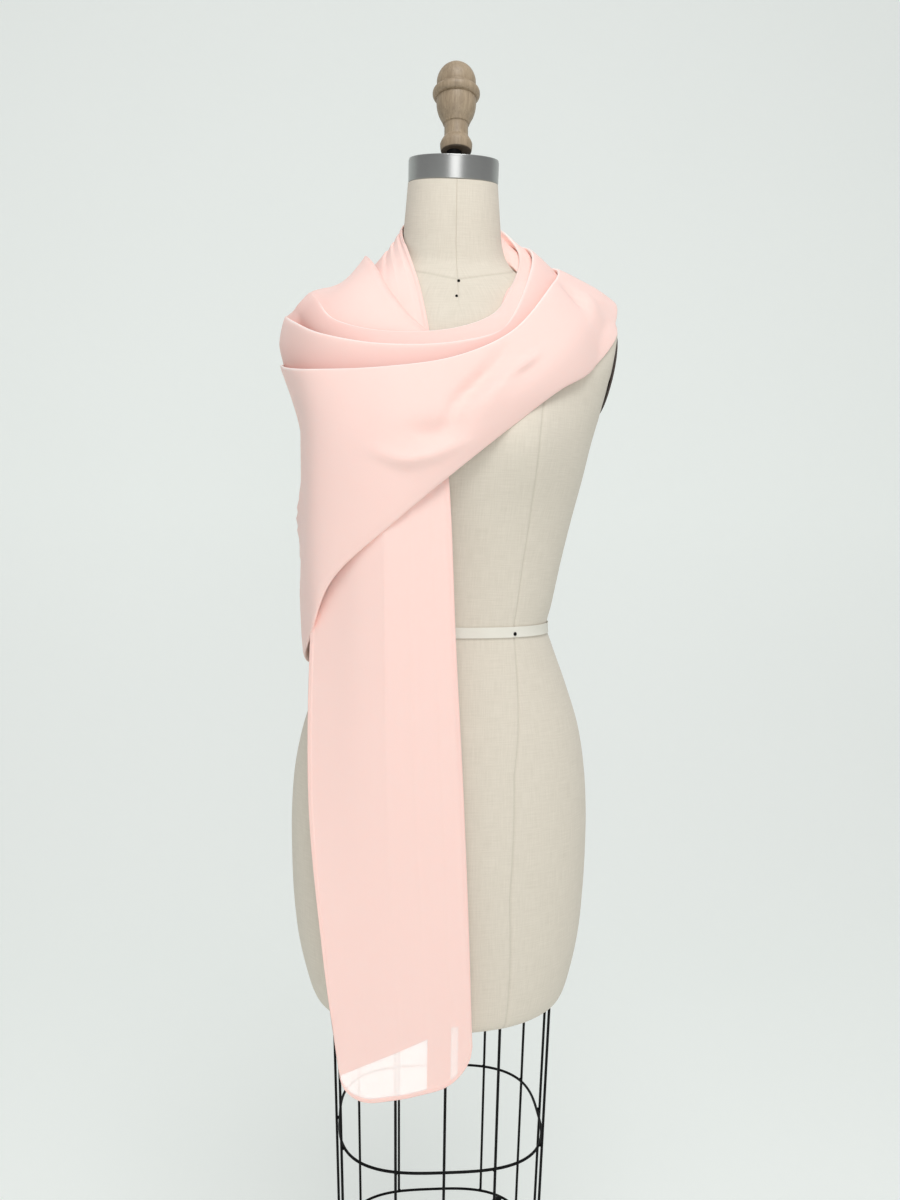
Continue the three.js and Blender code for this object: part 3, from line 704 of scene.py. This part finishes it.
def neck_seam_height(angle):
    sine, cosine = np.abs(np.sin(angle)), np.cos(angle)
    side, back, lift = NECK_SEAM["side_rise"], NECK_SEAM["back_rise"], NECK_SEAM["back_lift"]
    return NECK_SEAM["height"] + side * sine + np.where(cosine > 0, back * (1 - cosine), back - lift * cosine)


def torso_rows():
    rows = [np.linspace(low, high, count, endpoint=False) for low, high, count in TORSO_ROWS]
    return np.concatenate(rows + [[NECK_TOP]])


def linen_torso():
    heights = torso_rows()
    front = seam_angle(heights, FRONT_SEAM, 1)
    back = math.pi - seam_angle(heights, BACK_SEAM, 2)
    side, centre_back = np.full_like(front, math.pi / 2), np.full_like(front, math.pi)
    half = [np.zeros_like(front), front, side, back, centre_back]
    seams = half + [2 * math.pi - line for line in half[-2::-1]]
    shares, dent, puff = panel_shares()
    angles, dents, puffs = [], [], []
    for low, high in zip(seams, seams[1:]):
        angles.append(low[:, None] + (high - low)[:, None] * shares)
        dents.append(np.broadcast_to(dent, angles[-1].shape))
        puffs.append(np.broadcast_to(puff, angles[-1].shape))
    angle, dent, puff = (np.concatenate(part, axis=1) for part in (angles, dents, puffs))
    height = np.broadcast_to(heights[:, None], angle.shape)
    below_neck = 1 - smoothstep(height, *SEAM_TOP)
    centre_front = np.abs(np.sin(angle / 2)) < 0.1
    sewn = np.where(centre_front, smoothstep(height, *CENTRE_SEAM), below_neck)
    neck_line = np.exp(-(((height - neck_seam_height(angle)) / NECK_SEAM["half"]) ** 2))
    seam = np.maximum(dent * sewn, neck_line)
    lift = -SEAM_DEPTH * seam + SEAM_PUFF * puff * sewn
    body = form_point(angle, height, lift)
    panels = len(seams) - 1
    run = lengths(body, 1).reshape(len(heights), panels, len(shares))
    run = run - run[:, :, [len(shares) // 2]] + PANEL_STEP * np.arange(panels)[:, None]
    flat = np.stack([run.reshape(height.shape), height], -1)
    rim, top = body[:1], body[-1:]
    floor_centre = np.array([0, 0, rim[0, 0, 2]])
    neck_centre = np.array([0, NECK_CENTRE, NECK_TOP])
    underside = [floor_centre + (rim - floor_centre) * share for share in (0.0, 0.5, 0.9, 0.975)]
    lid = [neck_centre + (top - neck_centre) * share for share in (0.97, 0.5, 0.0)]
    places = np.concatenate([*underside, body, *lid])
    extend = ((len(underside), len(lid)), (0, 0))
    flat = np.pad(flat, (*extend, (0, 0)), mode="edge")
    seam = np.pad(seam, extend)
    mesh = close(placed_grid(places, flat, seam=seam))
    piece("linen_torso", mesh, "linen", "form_torso", sharp=50)


def waist_tape():
    """Closed band round the waist with soft edges."""
    low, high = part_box("waist_tape")
    tall = high.z - low.z
    angle = np.linspace(0, 2 * math.pi, 241)
    turn = np.linspace(0, 2 * math.pi, 25)
    out = np.sign(np.cos(turn)) * np.abs(np.cos(turn)) ** TAPE_SQUARE
    rise = np.sign(np.sin(turn)) * np.abs(np.sin(turn)) ** TAPE_SQUARE
    levels = (low.z + high.z) / 2 + rise * tall / 2
    lifts = TAPE_LIFT + (out + 1) / 2 * TAPE_THICK
    grid_angle, grid_level = np.meshgrid(angle, levels, indexing="ij")
    places = form_point(grid_angle, grid_level, np.broadcast_to(lifts, grid_angle.shape))
    flat = np.stack([lengths(places, 0), grid_level], -1)
    mesh = close(placed_grid(places[:, ::-1], flat[:, ::-1]))
    piece("cotton_waist_tape", mesh, "tape", "waist_tape")


def outward(mesh):
    bmesh.ops.recalc_face_normals(mesh, faces=mesh.faces)
    return mesh


def turned(profile, steps, place=Matrix.Identity(4)):
    """Solid turned from a profile of radius and height."""
    mesh = bmesh.new()
    line = [mesh.verts.new((radius, 0, height)) for radius, height in profile]
    edges = [mesh.edges.new(pair) for pair in zip(line, line[1:])]
    bmesh.ops.spin(mesh, geom=line + edges, cent=(0, 0, 0), axis=(0, 0, 1), angle=2 * math.pi, steps=steps,
                   use_merge=True)
    outward(close(mesh))
    bmesh.ops.transform(mesh, matrix=place, verts=mesh.verts)
    return mesh


def arc(centre, radius, start, end, steps=6):
    """Points of a round edge in a profile, from one angle in degrees to another."""
    angles = np.radians(np.linspace(start, end, steps))
    return [(centre[0] + radius * math.cos(a), centre[1] + radius * math.sin(a)) for a in angles]


# Neck fittings

# Smooth stretches of the finial as height over its foot and radius, sharp where two stretches meet
FINIAL_STRETCHES = [
    [(0, 0), (0, 0.0148)],
    [(0, 0.0148), (0.0007, 0.0160), (0.004, 0.0168), (0.0085, 0.0171)],
    [(0.0085, 0.0171), (0.0120, 0.0157), (0.0155, 0.0136)],
    [(0.0155, 0.0136), (0.0163, 0.0129), (0.021, 0.0126), (0.027, 0.0126), (0.0300, 0.0129)],
    [(0.0300, 0.0129), (0.0305, 0.0140)],
    [(0.0305, 0.0140), (0.034, 0.0154), (0.0394, 0.0182), (0.0467, 0.0204), (0.053, 0.0211),
     (0.0575, 0.0211), (0.0585, 0.0207)],
    [(0.0585, 0.0207), (0.0590, 0.0232), (0.061, 0.0247), (0.0638, 0.0252), (0.0665, 0.0247),
     (0.0685, 0.0231), (0.0690, 0.0212)],
    [(0.0690, 0.0212), (0.0698, 0.0214), (0.0708, 0.0213), (0.0713, 0.0203)],
    [(0.0713, 0.0203), (0.0725, 0.0206), (0.075, 0.0208), (0.080, 0.0205), (0.086, 0.0184),
     (0.0915, 0.0144), (0.0955, 0.0090), (0.098, 0.0045), (0.099, 0)],
]


def steel_neck_cap():
    edge, lip = 0.0012, 0.0004
    profile = [(0, 0), (CAP_RADIUS - edge, 0)]
    profile += arc((CAP_RADIUS - edge, edge), edge, -90, 0)
    profile += [(CAP_RADIUS, CAP_TALL - edge - 3 * lip), (CAP_RADIUS - lip, CAP_TALL - edge - 2 * lip)]
    profile += arc((CAP_RADIUS - edge - lip, CAP_TALL - edge), edge, 0, 90)
    profile += [(0, CAP_TALL)]
    piece("steel_neck_cap", turned(profile, 128, NECK_PLACE), "steel", "neck_cap", sharp=30)


def finial_stem():
    groove = 0.0006
    profile = [(0, 0), (STEM_RADIUS, 0), (STEM_RADIUS, 0.0012), (STEM_RADIUS - groove, 0.0015),
               (STEM_RADIUS - groove, 0.0020), (STEM_RADIUS, 0.0023), (STEM_RADIUS, 1), (0, 1)]
    mesh = turned(profile, 48)
    for vertex in mesh.verts:
        if vertex.co.z > 0.5:
            vertex.co.z = FINIAL_RISE - SEAM_GAP - vertex.co.y * math.tan(FINIAL_SLANT)
    on_cap = NECK_PLACE @ Matrix.Translation((0, 0, CAP_TALL + SEAM_GAP))
    bmesh.ops.transform(mesh, matrix=on_cap, verts=mesh.verts)
    piece("black_finial_stem", mesh, "black", "finial_stem")


def wood_finial():
    profile = []
    for stretch in FINIAL_STRETCHES:
        points = smooth_through(stretch, np.linspace(0, len(stretch) - 1, 5 * len(stretch)))
        profile += [(max(radius, 0.0), height) for height, radius in points]
    piece("wood_finial", turned(profile, 96, FINIAL_PLACE), "wood", "finial", sharp=30)


def armhole_outline(half_tall, half_deep):
    """Heights and depths of a plate's rim: an oval that stays within the cut-off shoulder."""
    middle_height, middle_depth = PLATE_MIDDLE
    angle = np.linspace(0, 2 * math.pi, PLATE_SIDES, endpoint=False)[:, None]
    reach = np.linspace(0, 0.075, 600)
    height = middle_height + reach * np.cos(angle)
    depth = middle_depth - reach * np.sin(angle)
    wide, front, back = form_section(height)
    deep = np.where(depth < 0, front, back)
    outside = np.abs(depth / deep) ** SECTION_POWER + (armhole_reach(height) / wide) ** SECTION_POWER > 1
    angle = angle[:, 0]
    oval = 1 / np.hypot(np.cos(angle) / half_tall, np.sin(angle) / half_deep)
    edge = np.minimum(reach[np.argmax(outside, axis=1)] + PLATE_OVERLAP, oval)
    return middle_height + edge * np.cos(angle), middle_depth - edge * np.sin(angle)


def armhole_plates():
    for side, name in ((-1, "left"), (1, "right")):
        heights, depths = armhole_outline(*PLATE_HALVES[name])
        mesh = bmesh.new()
        bmesh.ops.create_circle(mesh, cap_ends=True, segments=PLATE_SIDES, radius=1)
        mesh.verts.ensure_lookup_table()
        reach = ARMHOLE["reach"] + (heights - ARMHOLE["low"]) * ARMHOLE["slope"] + SEAM_GAP
        for vertex, height, depth, out in zip(mesh.verts, heights, depths, reach):
            vertex.co = (side * out + form_lean(height), depth, height)
        raised = bmesh.ops.extrude_face_region(mesh, geom=mesh.faces[:])["geom"]
        outer = [part for part in raised if isinstance(part, bmesh.types.BMVert)]
        bmesh.ops.translate(mesh, verts=outer, vec=(side * PLATE_THICK, 0, 0))
        faces = [part for part in raised if isinstance(part, bmesh.types.BMFace)]
        rim = {edge for face in faces for edge in face.edges}
        bmesh.ops.bevel(mesh, geom=list(rim), offset=PLATE_THICK * 0.4, segments=3, profile=0.5,
                        affect="EDGES", material=-1)
        piece("brown_plate_" + name, outward(mesh), "brown", "armhole_plate_" + name)


# Wire cage and stand

def cage_point(angle, hoop, lift):
    sine, cosine = np.sin(angle), np.cos(angle)
    wide, deep = hoop["half_wide"], hoop["half_deep"]
    total = np.abs(sine / wide) ** HOOP_POWER + np.abs(cosine / deep) ** HOOP_POWER
    radius = total ** (-1 / HOOP_POWER) + lift
    height = np.full_like(radius, hoop["height"])
    return np.stack([radius * sine, CAGE_CENTRE - radius * cosine, height], -1)


def cage_hoops():
    angle = np.linspace(0, 2 * math.pi, 193)
    for name, hoop in (("upper", UPPER_HOOP), ("lower", LOWER_HOOP)):
        path = cage_point(angle, hoop, 0.0)
        path[-1] = path[0]
        way = np.roll(path[:-1], -1, axis=0) - np.roll(path[:-1], 1, axis=0)
        side = unit(np.cross(way, (0, 0, 1)))
        side = np.concatenate([side, side[:1]])
        turn = np.linspace(0, 2 * math.pi, 15)[None, :, None]
        ring = np.cos(turn) * side[:, None] + np.sin(turn) * np.array([0, 0, 1.0])
        places = path[:, None] + WIRE / 2 * ring
        mesh = outward(close(placed_grid(places)))
        piece("black_hoop_" + name, mesh, "black", "cage_hoop_" + name)


def rounded_bar(start, end, radius, sides=14):
    """Straight bar with a small round at both ends."""
    start, end = np.asarray(start, float), np.asarray(end, float)
    long = np.linalg.norm(end - start)
    turn = np.radians([0, 30, 60, 90])
    soft = 0.35 * radius
    inset = soft * (1 - np.sin(turn))
    narrow = radius - soft * (1 - np.cos(turn[::-1]))
    straight = np.linspace(soft, long - soft, 8)[1:-1]
    offsets = np.concatenate([[0], inset[::-1], straight, long - inset, [long]])
    radii = np.concatenate([[0], narrow, np.full(6, radius), narrow[::-1], [0]])
    path = start + (end - start) * (offsets / long)[:, None]
    way = (end - start) / long
    reference = (1, 0, 0) if abs(way[2]) > 0.7 else (0, 0, 1)
    side = unit(np.cross(way, reference))
    top = np.cross(side, way)
    turn = np.linspace(0, 2 * math.pi, sides + 1)[None, :, None]
    places = path[:, None] + radii[:, None, None] * (np.cos(turn) * side + np.sin(turn) * top)
    return outward(close(placed_grid(places)))


def cage_wires():
    for index, degrees in enumerate(WIRE_ANGLES, 1):
        angle = np.radians(float(degrees))
        upper = cage_point(angle, UPPER_HOOP, WIRE_LIFT)
        lower = cage_point(angle, LOWER_HOOP, WIRE_LIFT)
        fall = (upper - lower) / (upper[2] - lower[2])
        mesh = rounded_bar(lower - fall * WIRE, upper + fall * (WIRE_TOP - upper[2]), WIRE / 2)
        piece(f"black_wire_{index:02d}", mesh, "black", f"cage_wire_{index:02d}")


def cage_welds():
    """Beads of weld where each wire crosses a hoop."""
    beads = bmesh.new()
    for degrees in WIRE_ANGLES:
        angle = np.radians(float(degrees))
        for hoop in (UPPER_HOOP, LOWER_HOOP):
            place = Matrix.Translation(cage_point(angle, hoop, WIRE_LIFT / 2))
            turn = Matrix.Rotation(angle, 4, "Z")
            size = Matrix.Diagonal((WIRE * 0.62, WIRE * 0.42, WIRE * 0.62, 1))
            bmesh.ops.create_icosphere(beads, subdivisions=2, radius=1, matrix=place @ turn @ size)
    piece("cage_weld_beads", beads, "black")


def soft_cylinder(node, name, radius, soft, steps):
    """Upright cylinder with soft edges, as tall as the CAD node that it replaces."""
    low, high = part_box(node)
    profile = [(0, low.z)] + arc((radius - soft, low.z + soft), soft, -90, 0, steps)
    profile += arc((radius - soft, high.z - soft), soft, 0, 90, steps) + [(0, high.z)]
    piece(name, turned(profile, 64), "black", node)


def stand():
    profile = [(0, 0), (BASE_RADIUS - 0.001, 0), (BASE_RADIUS, 0.001), (BASE_RADIUS, BASE_RIM - BASE_EDGE)]
    profile += arc((BASE_RADIUS - BASE_EDGE, BASE_RIM - BASE_EDGE), BASE_EDGE, 0, 88)
    profile += [(0.150, 0.0127), (0.080, 0.0157)]
    profile += arc((0.030, BASE_TOP - BASE_TOP_EDGE), BASE_TOP_EDGE, 60, 90, 4) + [(0, BASE_TOP)]
    piece("black_base", turned(profile, 160), "black", "stand_base")
    soft_cylinder("stand_post", "black_post", POST_RADIUS, 0.0008, 4)
    soft_cylinder("stand_hub", "black_hub", HUB_RADIUS, 0.0025, 6)
    for arm in range(4):
        angle = 2 * math.pi * (arm + 0.5) / 4
        tip = cage_point(angle, LOWER_HOOP, -WIRE / 2 - ARM_GAP)
        way = unit(np.array([tip[0], tip[1], 0.0]))
        root = np.array([*(way[:2] * ARM_ROOT), LOWER_HOOP["height"]])
        mesh = rounded_bar(root, tip, ARM_RADIUS, 20)
        piece(f"black_arm_{arm + 1}", mesh, "black", f"stand_arm_{arm + 1}")


def front_of_form(across, height, lift):
    """Point on the front of the form, across from its own centre line."""
    wide, front, _ = form_section(height)
    share = abs(across) / wide
    y = front * (1 - share**SECTION_POWER) ** (1 / SECTION_POWER)
    return form_point(np.arctan2(across, y), np.asarray(height, float), lift)


def form_pins():
    """Heads of the pins in the neck seam and the waist tape."""
    heads = bmesh.new()
    for across, height, lift, radius in PINS:
        place = Matrix.Translation(front_of_form(across, height, lift))
        bmesh.ops.create_uvsphere(heads, u_segments=24, v_segments=14, radius=radius, matrix=place)
    piece("pin_heads", heads, "black")


# Stole

def stole_lines():
    """The eight long lines from the front hem over the nape to the back hem, 25 places each."""
    tail = np.stack([TAIL_LINES[name][:0:-1] for name in ("right_edge", "middle", "left_edge")])
    tail = smooth_through(tail, 2 * np.asarray(TAIL_SHARES))
    wrap = np.stack([WRAP_LINES[name] for name in WRAP_LINES])
    return dict(zip(WRAP_LINES, np.concatenate([tail, wrap], axis=1)))


def stole_places():
    """Places along the stole, closer at the hems and over the chest."""
    hem = np.array([0.0, 0.006, 0.012, 0.018, 0.024, 0.030, 0.040])
    front_tail = np.linspace(0.06, 5, 96, endpoint=False)
    neck = np.linspace(5, 14, 100, endpoint=False)
    chest = np.linspace(14, 21, 104, endpoint=False)
    back = np.linspace(21, LAST_PLACE - 0.03, 62, endpoint=False)
    return np.concatenate([hem, front_tail, neck, chest, back, LAST_PLACE - hem[:5][::-1] / 2])


def along_table(values, along):
    """Smooth values in metres from a table in millimetres for the places along the stole."""
    spread = 10.0
    table = [(spread * place, value) for place, value in enumerate(values)]
    return smooth_through(table, along)[:, 1:] * MM


def stole_grid():
    """Cross-sections of the folded stole: points, places along it and places across it."""
    along = stole_places()
    lines = {name: smooth_through(line, along) for name, line in stole_lines().items()}
    order = ["upper_fold", "middle_fold", "lower_fold", "upper_panel"]
    sections = [lines["upper_edge"], lines["shoulder_dip"]]

    def pleat(name, below):
        """Rim of a fold, its ways up and out, and how far it is tucked and set in."""
        rim = lines[name]
        up = unit(rim - below)
        out = unit(np.cross(up, np.gradient(rim, axis=0)))
        tuck, inset = (along_table(PLEATS[name][key], along) for key in ("tuck", "inset"))
        return rim, up, out, tuck, inset

    for name, following in zip(order, order[1:]):
        rim, up, out, tuck, inset = pleat(name, lines[following])
        valley = rim - out * inset - up * tuck
        turn = rim - out * inset * 0.3 - up * tuck * 0.12
        if name != "upper_fold":
            swell = along_table(FOLD_SWELL[name], along) * smoothstep(tuck, -0.002, 0.003)
            sections.append((sections[-1] + valley) / 2 + out * swell)
        sections += [valley, turn, rim]
    sections += [lines["upper_panel"], lines["lower_panel"]]
    rim, up, out, tuck, inset = pleat("lower_edge", 2 * lines["lower_edge"] - lines["lower_panel"])
    sections += [rim, rim - out * inset * 0.7 + up * tuck * 0.2, rim - out * inset + up * tuck]
    steps = enumerate(SECTION_STEPS)
    stretches = [np.linspace(place, place + 1, count, endpoint=False) for place, count in steps]
    across = np.concatenate([*stretches, [len(SECTION_STEPS)]])
    points = smooth_through(np.stack(sections), across)
    return points.transpose(1, 0, 2), along, across


def corner_rise(width):
    """How far a round corner lifts the hem, from the running length across each row of a sheet."""
    inset = np.minimum(width, width[:, -1:] - width)
    missing = np.maximum(HEM_CORNER - inset, 0)
    return HEM_CORNER - np.sqrt(np.maximum(HEM_CORNER**2 - missing**2, 0))


def round_corners(points, along):
    """Raises the corners at both ends of the stole so that its hems are round there."""
    front = np.clip(1 - along / FRONT_CORNER_END, 0, 1) ** CORNER_POWER
    back = np.clip((along - BACK_CORNER_START) / (LAST_PLACE - BACK_CORNER_START), 0, 1) ** CORNER_POWER
    points[..., 2] += corner_rise(lengths(points, 1)) * (front + back)[:, None]
    return points


# Soft creases: points that each passes, half width, depth (above zero stands out) and the way it is pressed
FRONT, LEFT, BACK, SHOULDER = (0, -1, 0), (-1, 0, 0), (0, 1, 0), (0.10, -0.60, 0.79)
CREASES = [
    ([(-0.086, 0, 1.224), (-0.063, 0, 1.215), (-0.050, 0, 1.214), (-0.029, 0, 1.218), (0.002, 0, 1.232)],
     0.0055, 0.0060, FRONT),
    ([(-0.056, 0, 1.238), (-0.022, 0, 1.240), (0.006, 0, 1.252)], 0.012, -0.0080, FRONT),
    ([(0.045, 0, 1.325), (0.019, 0, 1.293), (-0.003, 0, 1.270), (-0.014, 0, 1.248)], 0.008, -0.0085, FRONT),
    ([(0.054, 0, 1.308), (0.034, 0, 1.284), (0.014, 0, 1.262)], 0.009, 0.0042, FRONT),
    ([(0.076, 0, 1.322), (0.062, 0, 1.310), (0.048, 0, 1.300)], 0.0045, 0.0050, FRONT),
    ([(0.108, -0.052, 1.413), (0.117, -0.060, 1.402), (0.124, -0.062, 1.390), (0.131, -0.070, 1.372)],
     0.008, -0.0062, SHOULDER),
    ([(0.134, -0.045, 1.402), (0.142, -0.055, 1.385), (0.148, -0.062, 1.362)], 0.009, 0.0040, SHOULDER),
    ([(0, -0.060, 1.275), (0, -0.010, 1.240), (0, 0.055, 1.190)], 0.013, -0.0060, LEFT),
    ([(0, -0.070, 1.190), (0, 0.000, 1.152), (0, 0.070, 1.100)], 0.010, 0.0046, LEFT),
    ([(0, -0.040, 1.110), (0, 0.030, 1.075)], 0.012, -0.0050, LEFT),
    ([(-0.105, 0, 1.370), (-0.068, 0, 1.250), (-0.048, 0, 1.080)], 0.011, -0.0040, BACK),
    ([(-0.130, 0, 1.310), (-0.092, 0, 1.180), (-0.074, 0, 0.990)], 0.010, 0.0032, BACK),
    ([(0.020, 0, 1.440), (0.060, 0, 1.424), (0.100, 0, 1.398)], 0.008, -0.0025, BACK),
]


def pressed(points):
    """Presses the soft creases into the cloth. All layers at one place move together."""
    moved = points.copy()
    for line, half_wide, depth, way in CREASES:
        way = np.asarray(way, float)
        drop = np.eye(3) - np.outer(way, way)
        line = smooth_through(line, np.linspace(0, len(line) - 1, 24)) @ drop
        flat = points @ drop
        distances = np.stack([np.linalg.norm(flat - spot, axis=-1) for spot in line])
        profile = np.exp(-((distances.min(axis=0) / half_wide) ** 2))
        fade = np.sin(math.pi * (0.06 + 0.88 * distances.argmin(axis=0) / (len(line) - 1)))
        facing = smoothstep(points @ way, 0.02, 0.06)
        moved += (depth * profile * fade * facing)[..., None] * way
    return moved


def hem_marks(points):
    """One within the narrow hem round the edges, zero inside it."""
    across = lengths(points, 1)
    along = lengths(points, 0)
    inset = np.minimum(np.minimum(across, across[:, -1:] - across), np.minimum(along, along[-1:] - along))
    return 1 - smoothstep(inset, HEM_WIDE, HEM_WIDE + HEM_FADE)


def as_cloth(made):
    """Gives a sheet its thickness, thicker at the rolled hem."""
    group = made.vertex_groups.new(name="hem")
    for index, mark in enumerate(made.data.attributes["hem"].data):
        group.add([index], mark.value, "REPLACE")
    wall = made.modifiers.new("cloth", "SOLIDIFY")
    wall.thickness = HEM_THICK
    wall.offset = 1
    wall.vertex_group = group.name
    wall.thickness_vertex_group = CLOTH_THICK / HEM_THICK
    wall.use_even_offset = False
    return made


def fold_marks(points, across, shares, reach):
    """Marks on lines of the folds, which fade above and below: the painted highlight on the rims and the
    painted shade in the valleys. Shares give each line's strength.
    """
    run = lengths(points, 1)
    marks = np.zeros(points.shape[:2])
    for place, share in shares:
        column = int(np.argmin(np.abs(across - place)))
        gap = run - run[:, [column]]
        distance = gap / np.where(gap < 0, *reach)
        marks = np.maximum(marks, np.exp(-distance * distance) * share)
    return marks


def cloth_piece(name, points, rim, deep, *nodes):
    flat = np.stack([lengths(points, 0), lengths(points, 1)], -1)
    places, flat, hem, rim, deep = (grid[:, ::-1] for grid in (points, flat, hem_marks(points), rim, deep))
    # The rim mark is a painted highlight on the fold rims; the deep mark is painted shade in the fold
    # valleys.
    mesh = placed_grid(places, flat, hem=hem, rim=rim, deep=deep)
    return as_cloth(piece(name, mesh, "chiffon", *nodes, sharp=180))


def stole():
    points, along, across = stole_grid()
    inner = np.isin(np.floor(across + 0.5), INNER_SECTIONS)
    gap = np.where(inner, INNER_CLEARANCE, CLOTH_CLEARANCE)
    points = clear_of_form(pressed(round_corners(points, along)), gap)
    # Painted highlight along each fold's rim, where the fold is tucked.
    rim_highlight_shares = [(place, smoothstep(along_table(PLEATS[name]["tuck"], along), 0.0, 0.005))
             for name, place in RIM_SECTIONS.items()]
    # Painted shade in the fold valleys.
    valley_shade_shares = [(place, np.interp(along, np.arange(LAST_PLACE + 1), PAINTED_VALLEY_SHADE[name])[:, None])
               for name, place in VALLEY_SECTIONS.items()]
    rim = fold_marks(points, across, rim_highlight_shares, RIM_HIGHLIGHT_REACH)
    deep = fold_marks(points, across, valley_shade_shares, VALLEY_SHADE_REACH)
    return cloth_piece(
        "stole", points, rim, deep, "stole_shoulder_fan", "stole_chest_wrap", "stole_cowl_middle",
        "stole_cowl_upper", "stole_shoulder_panel", "stole_back_tail", "stole_neck_rise", "stole_front_tail")


def stole_tail_fold():
    """The folded-back layer behind the front tail, with a slanted end and a slit."""
    across = np.linspace(*TAIL_FOLD_SIDES, 160)
    down = np.linspace(TAIL_FOLD_TOP, TAIL_PLACES, 110)
    lines = [smooth_through(TAIL_LINES[name], down) for name in ("right_edge", "middle", "left_edge")]
    points = smooth_through(np.stack(lines), 2 * across).transpose(1, 0, 2)
    points[..., 1] += TAIL_FOLD_BEHIND
    top, bottom = points[:1, :, 2], points[-1:, :, 2]
    x = points[-1, :, 0]
    slant = WINDOW["height"] + (x - WINDOW["left"]) * WINDOW["slope"]
    in_slit = (x > WINDOW["slit"][0]) & (x < WINDOW["slit"][1])
    corner = corner_rise(lengths(points[-1:], 1))[0]
    over_hem = bottom[0] + corner + HEM_LAP
    end = np.where(in_slit, WINDOW["slit_top"], over_hem)
    end = np.where(x < WINDOW["right"], np.maximum(slant, over_hem), end)
    points[..., 2] += (end - bottom) * (top - points[..., 2]) / (top - bottom)
    plain = np.zeros(points.shape[:2])
    return cloth_piece("stole_tail_fold", points[::-1], plain, plain, "stole_tail_under")


# Studio

def studio():
    """Floor that curves up into a backdrop."""
    wide, front, turn, tall = 7.0, -5.0, 1.6, 5.0
    bend = 1.2
    floor = [(y, 0.0) for y in np.linspace(front, turn, 12)]
    angles = np.linspace(0, math.pi / 2, 24)[1:]
    curve = [(turn + bend * math.sin(angle), bend - bend * math.cos(angle)) for angle in angles]
    wall = [(turn + bend, z) for z in np.linspace(bend, tall, 8)[1:]]
    profile = np.array(floor + curve + wall)
    across = np.linspace(-wide, wide, 9)
    x, y = np.meshgrid(across, profile[:, 0])
    places = np.stack([x, y, np.broadcast_to(profile[:, [1]], x.shape)], -1)
    data = bpy.data.meshes.new("studio_paper")
    placed_grid(places).to_mesh(data)
    data.shade_smooth()
    data.materials.append(studio_paint())
    paper = bpy.data.objects.new("studio_paper", data)
    bpy.context.scene.collection.objects.link(paper)


def soft_light(name, place, aim, size, power):
    data = bpy.data.lights.new(name, "AREA")
    data.shape = "RECTANGLE"
    data.size, data.size_y = size
    data.energy = power
    lamp = bpy.data.objects.new(name, data)
    lamp.location = place
    lamp.rotation_euler = (Vector(aim) - Vector(place)).to_track_quat("-Z", "Y").to_euler()
    bpy.context.scene.collection.objects.link(lamp)


def lights():
    world = bpy.data.worlds.new("studio_air")
    world.use_nodes = True
    air = world.node_tree.nodes["Background"]
    air.inputs["Color"].default_value = (1, 1, 1, 1)
    air.inputs["Strength"].default_value = 0.44
    bpy.context.scene.world = world
    soft_light("key_light", (0.1, -1.5, 3.4), (0, 0, 1.2), (1.3, 1.3), 39)
    soft_light("front_light", (0.0, -2.9, 1.1), (0, 0, 0.9), (1.2, 1.8), 18)
    bpy.context.scene.view_settings.view_transform = "Standard"


def camera():
    data = bpy.data.cameras.new("photo_camera")
    data.sensor_fit = "VERTICAL"
    data.sensor_height = SENSOR_TALL
    data.lens = SENSOR_TALL * FOCAL_SHARE
    made = bpy.data.objects.new("photo_camera", data)
    pan, pitch = CAMERA_PAN, CAMERA_PITCH
    forward = Vector((math.cos(pitch) * math.sin(pan), math.cos(pitch) * math.cos(pan), -math.sin(pitch)))
    right = Vector((math.cos(pan), -math.sin(pan), 0))
    upright = Matrix((right, right.cross(forward), -forward)).transposed()
    turn = upright @ Matrix.Rotation(CAMERA_ROLL, 3, "Z")
    place = Vector((-math.sin(CAMERA_YAW), -math.cos(CAMERA_YAW), 0)) * CAMERA_DISTANCE
    made.matrix_world = Matrix.Translation(place + Vector((0, 0, CAMERA_HEIGHT))) @ turn.to_4x4()
    bpy.context.scene.collection.objects.link(made)
    bpy.context.scene.camera = made


camera()
studio()
lights()
linen_torso()
waist_tape()
armhole_plates()
steel_neck_cap()
finial_stem()
wood_finial()
cage_hoops()
cage_wires()
cage_welds()
stand()
form_pins()
stole()
stole_tail_fold()

bpy.context.view_layer.update()
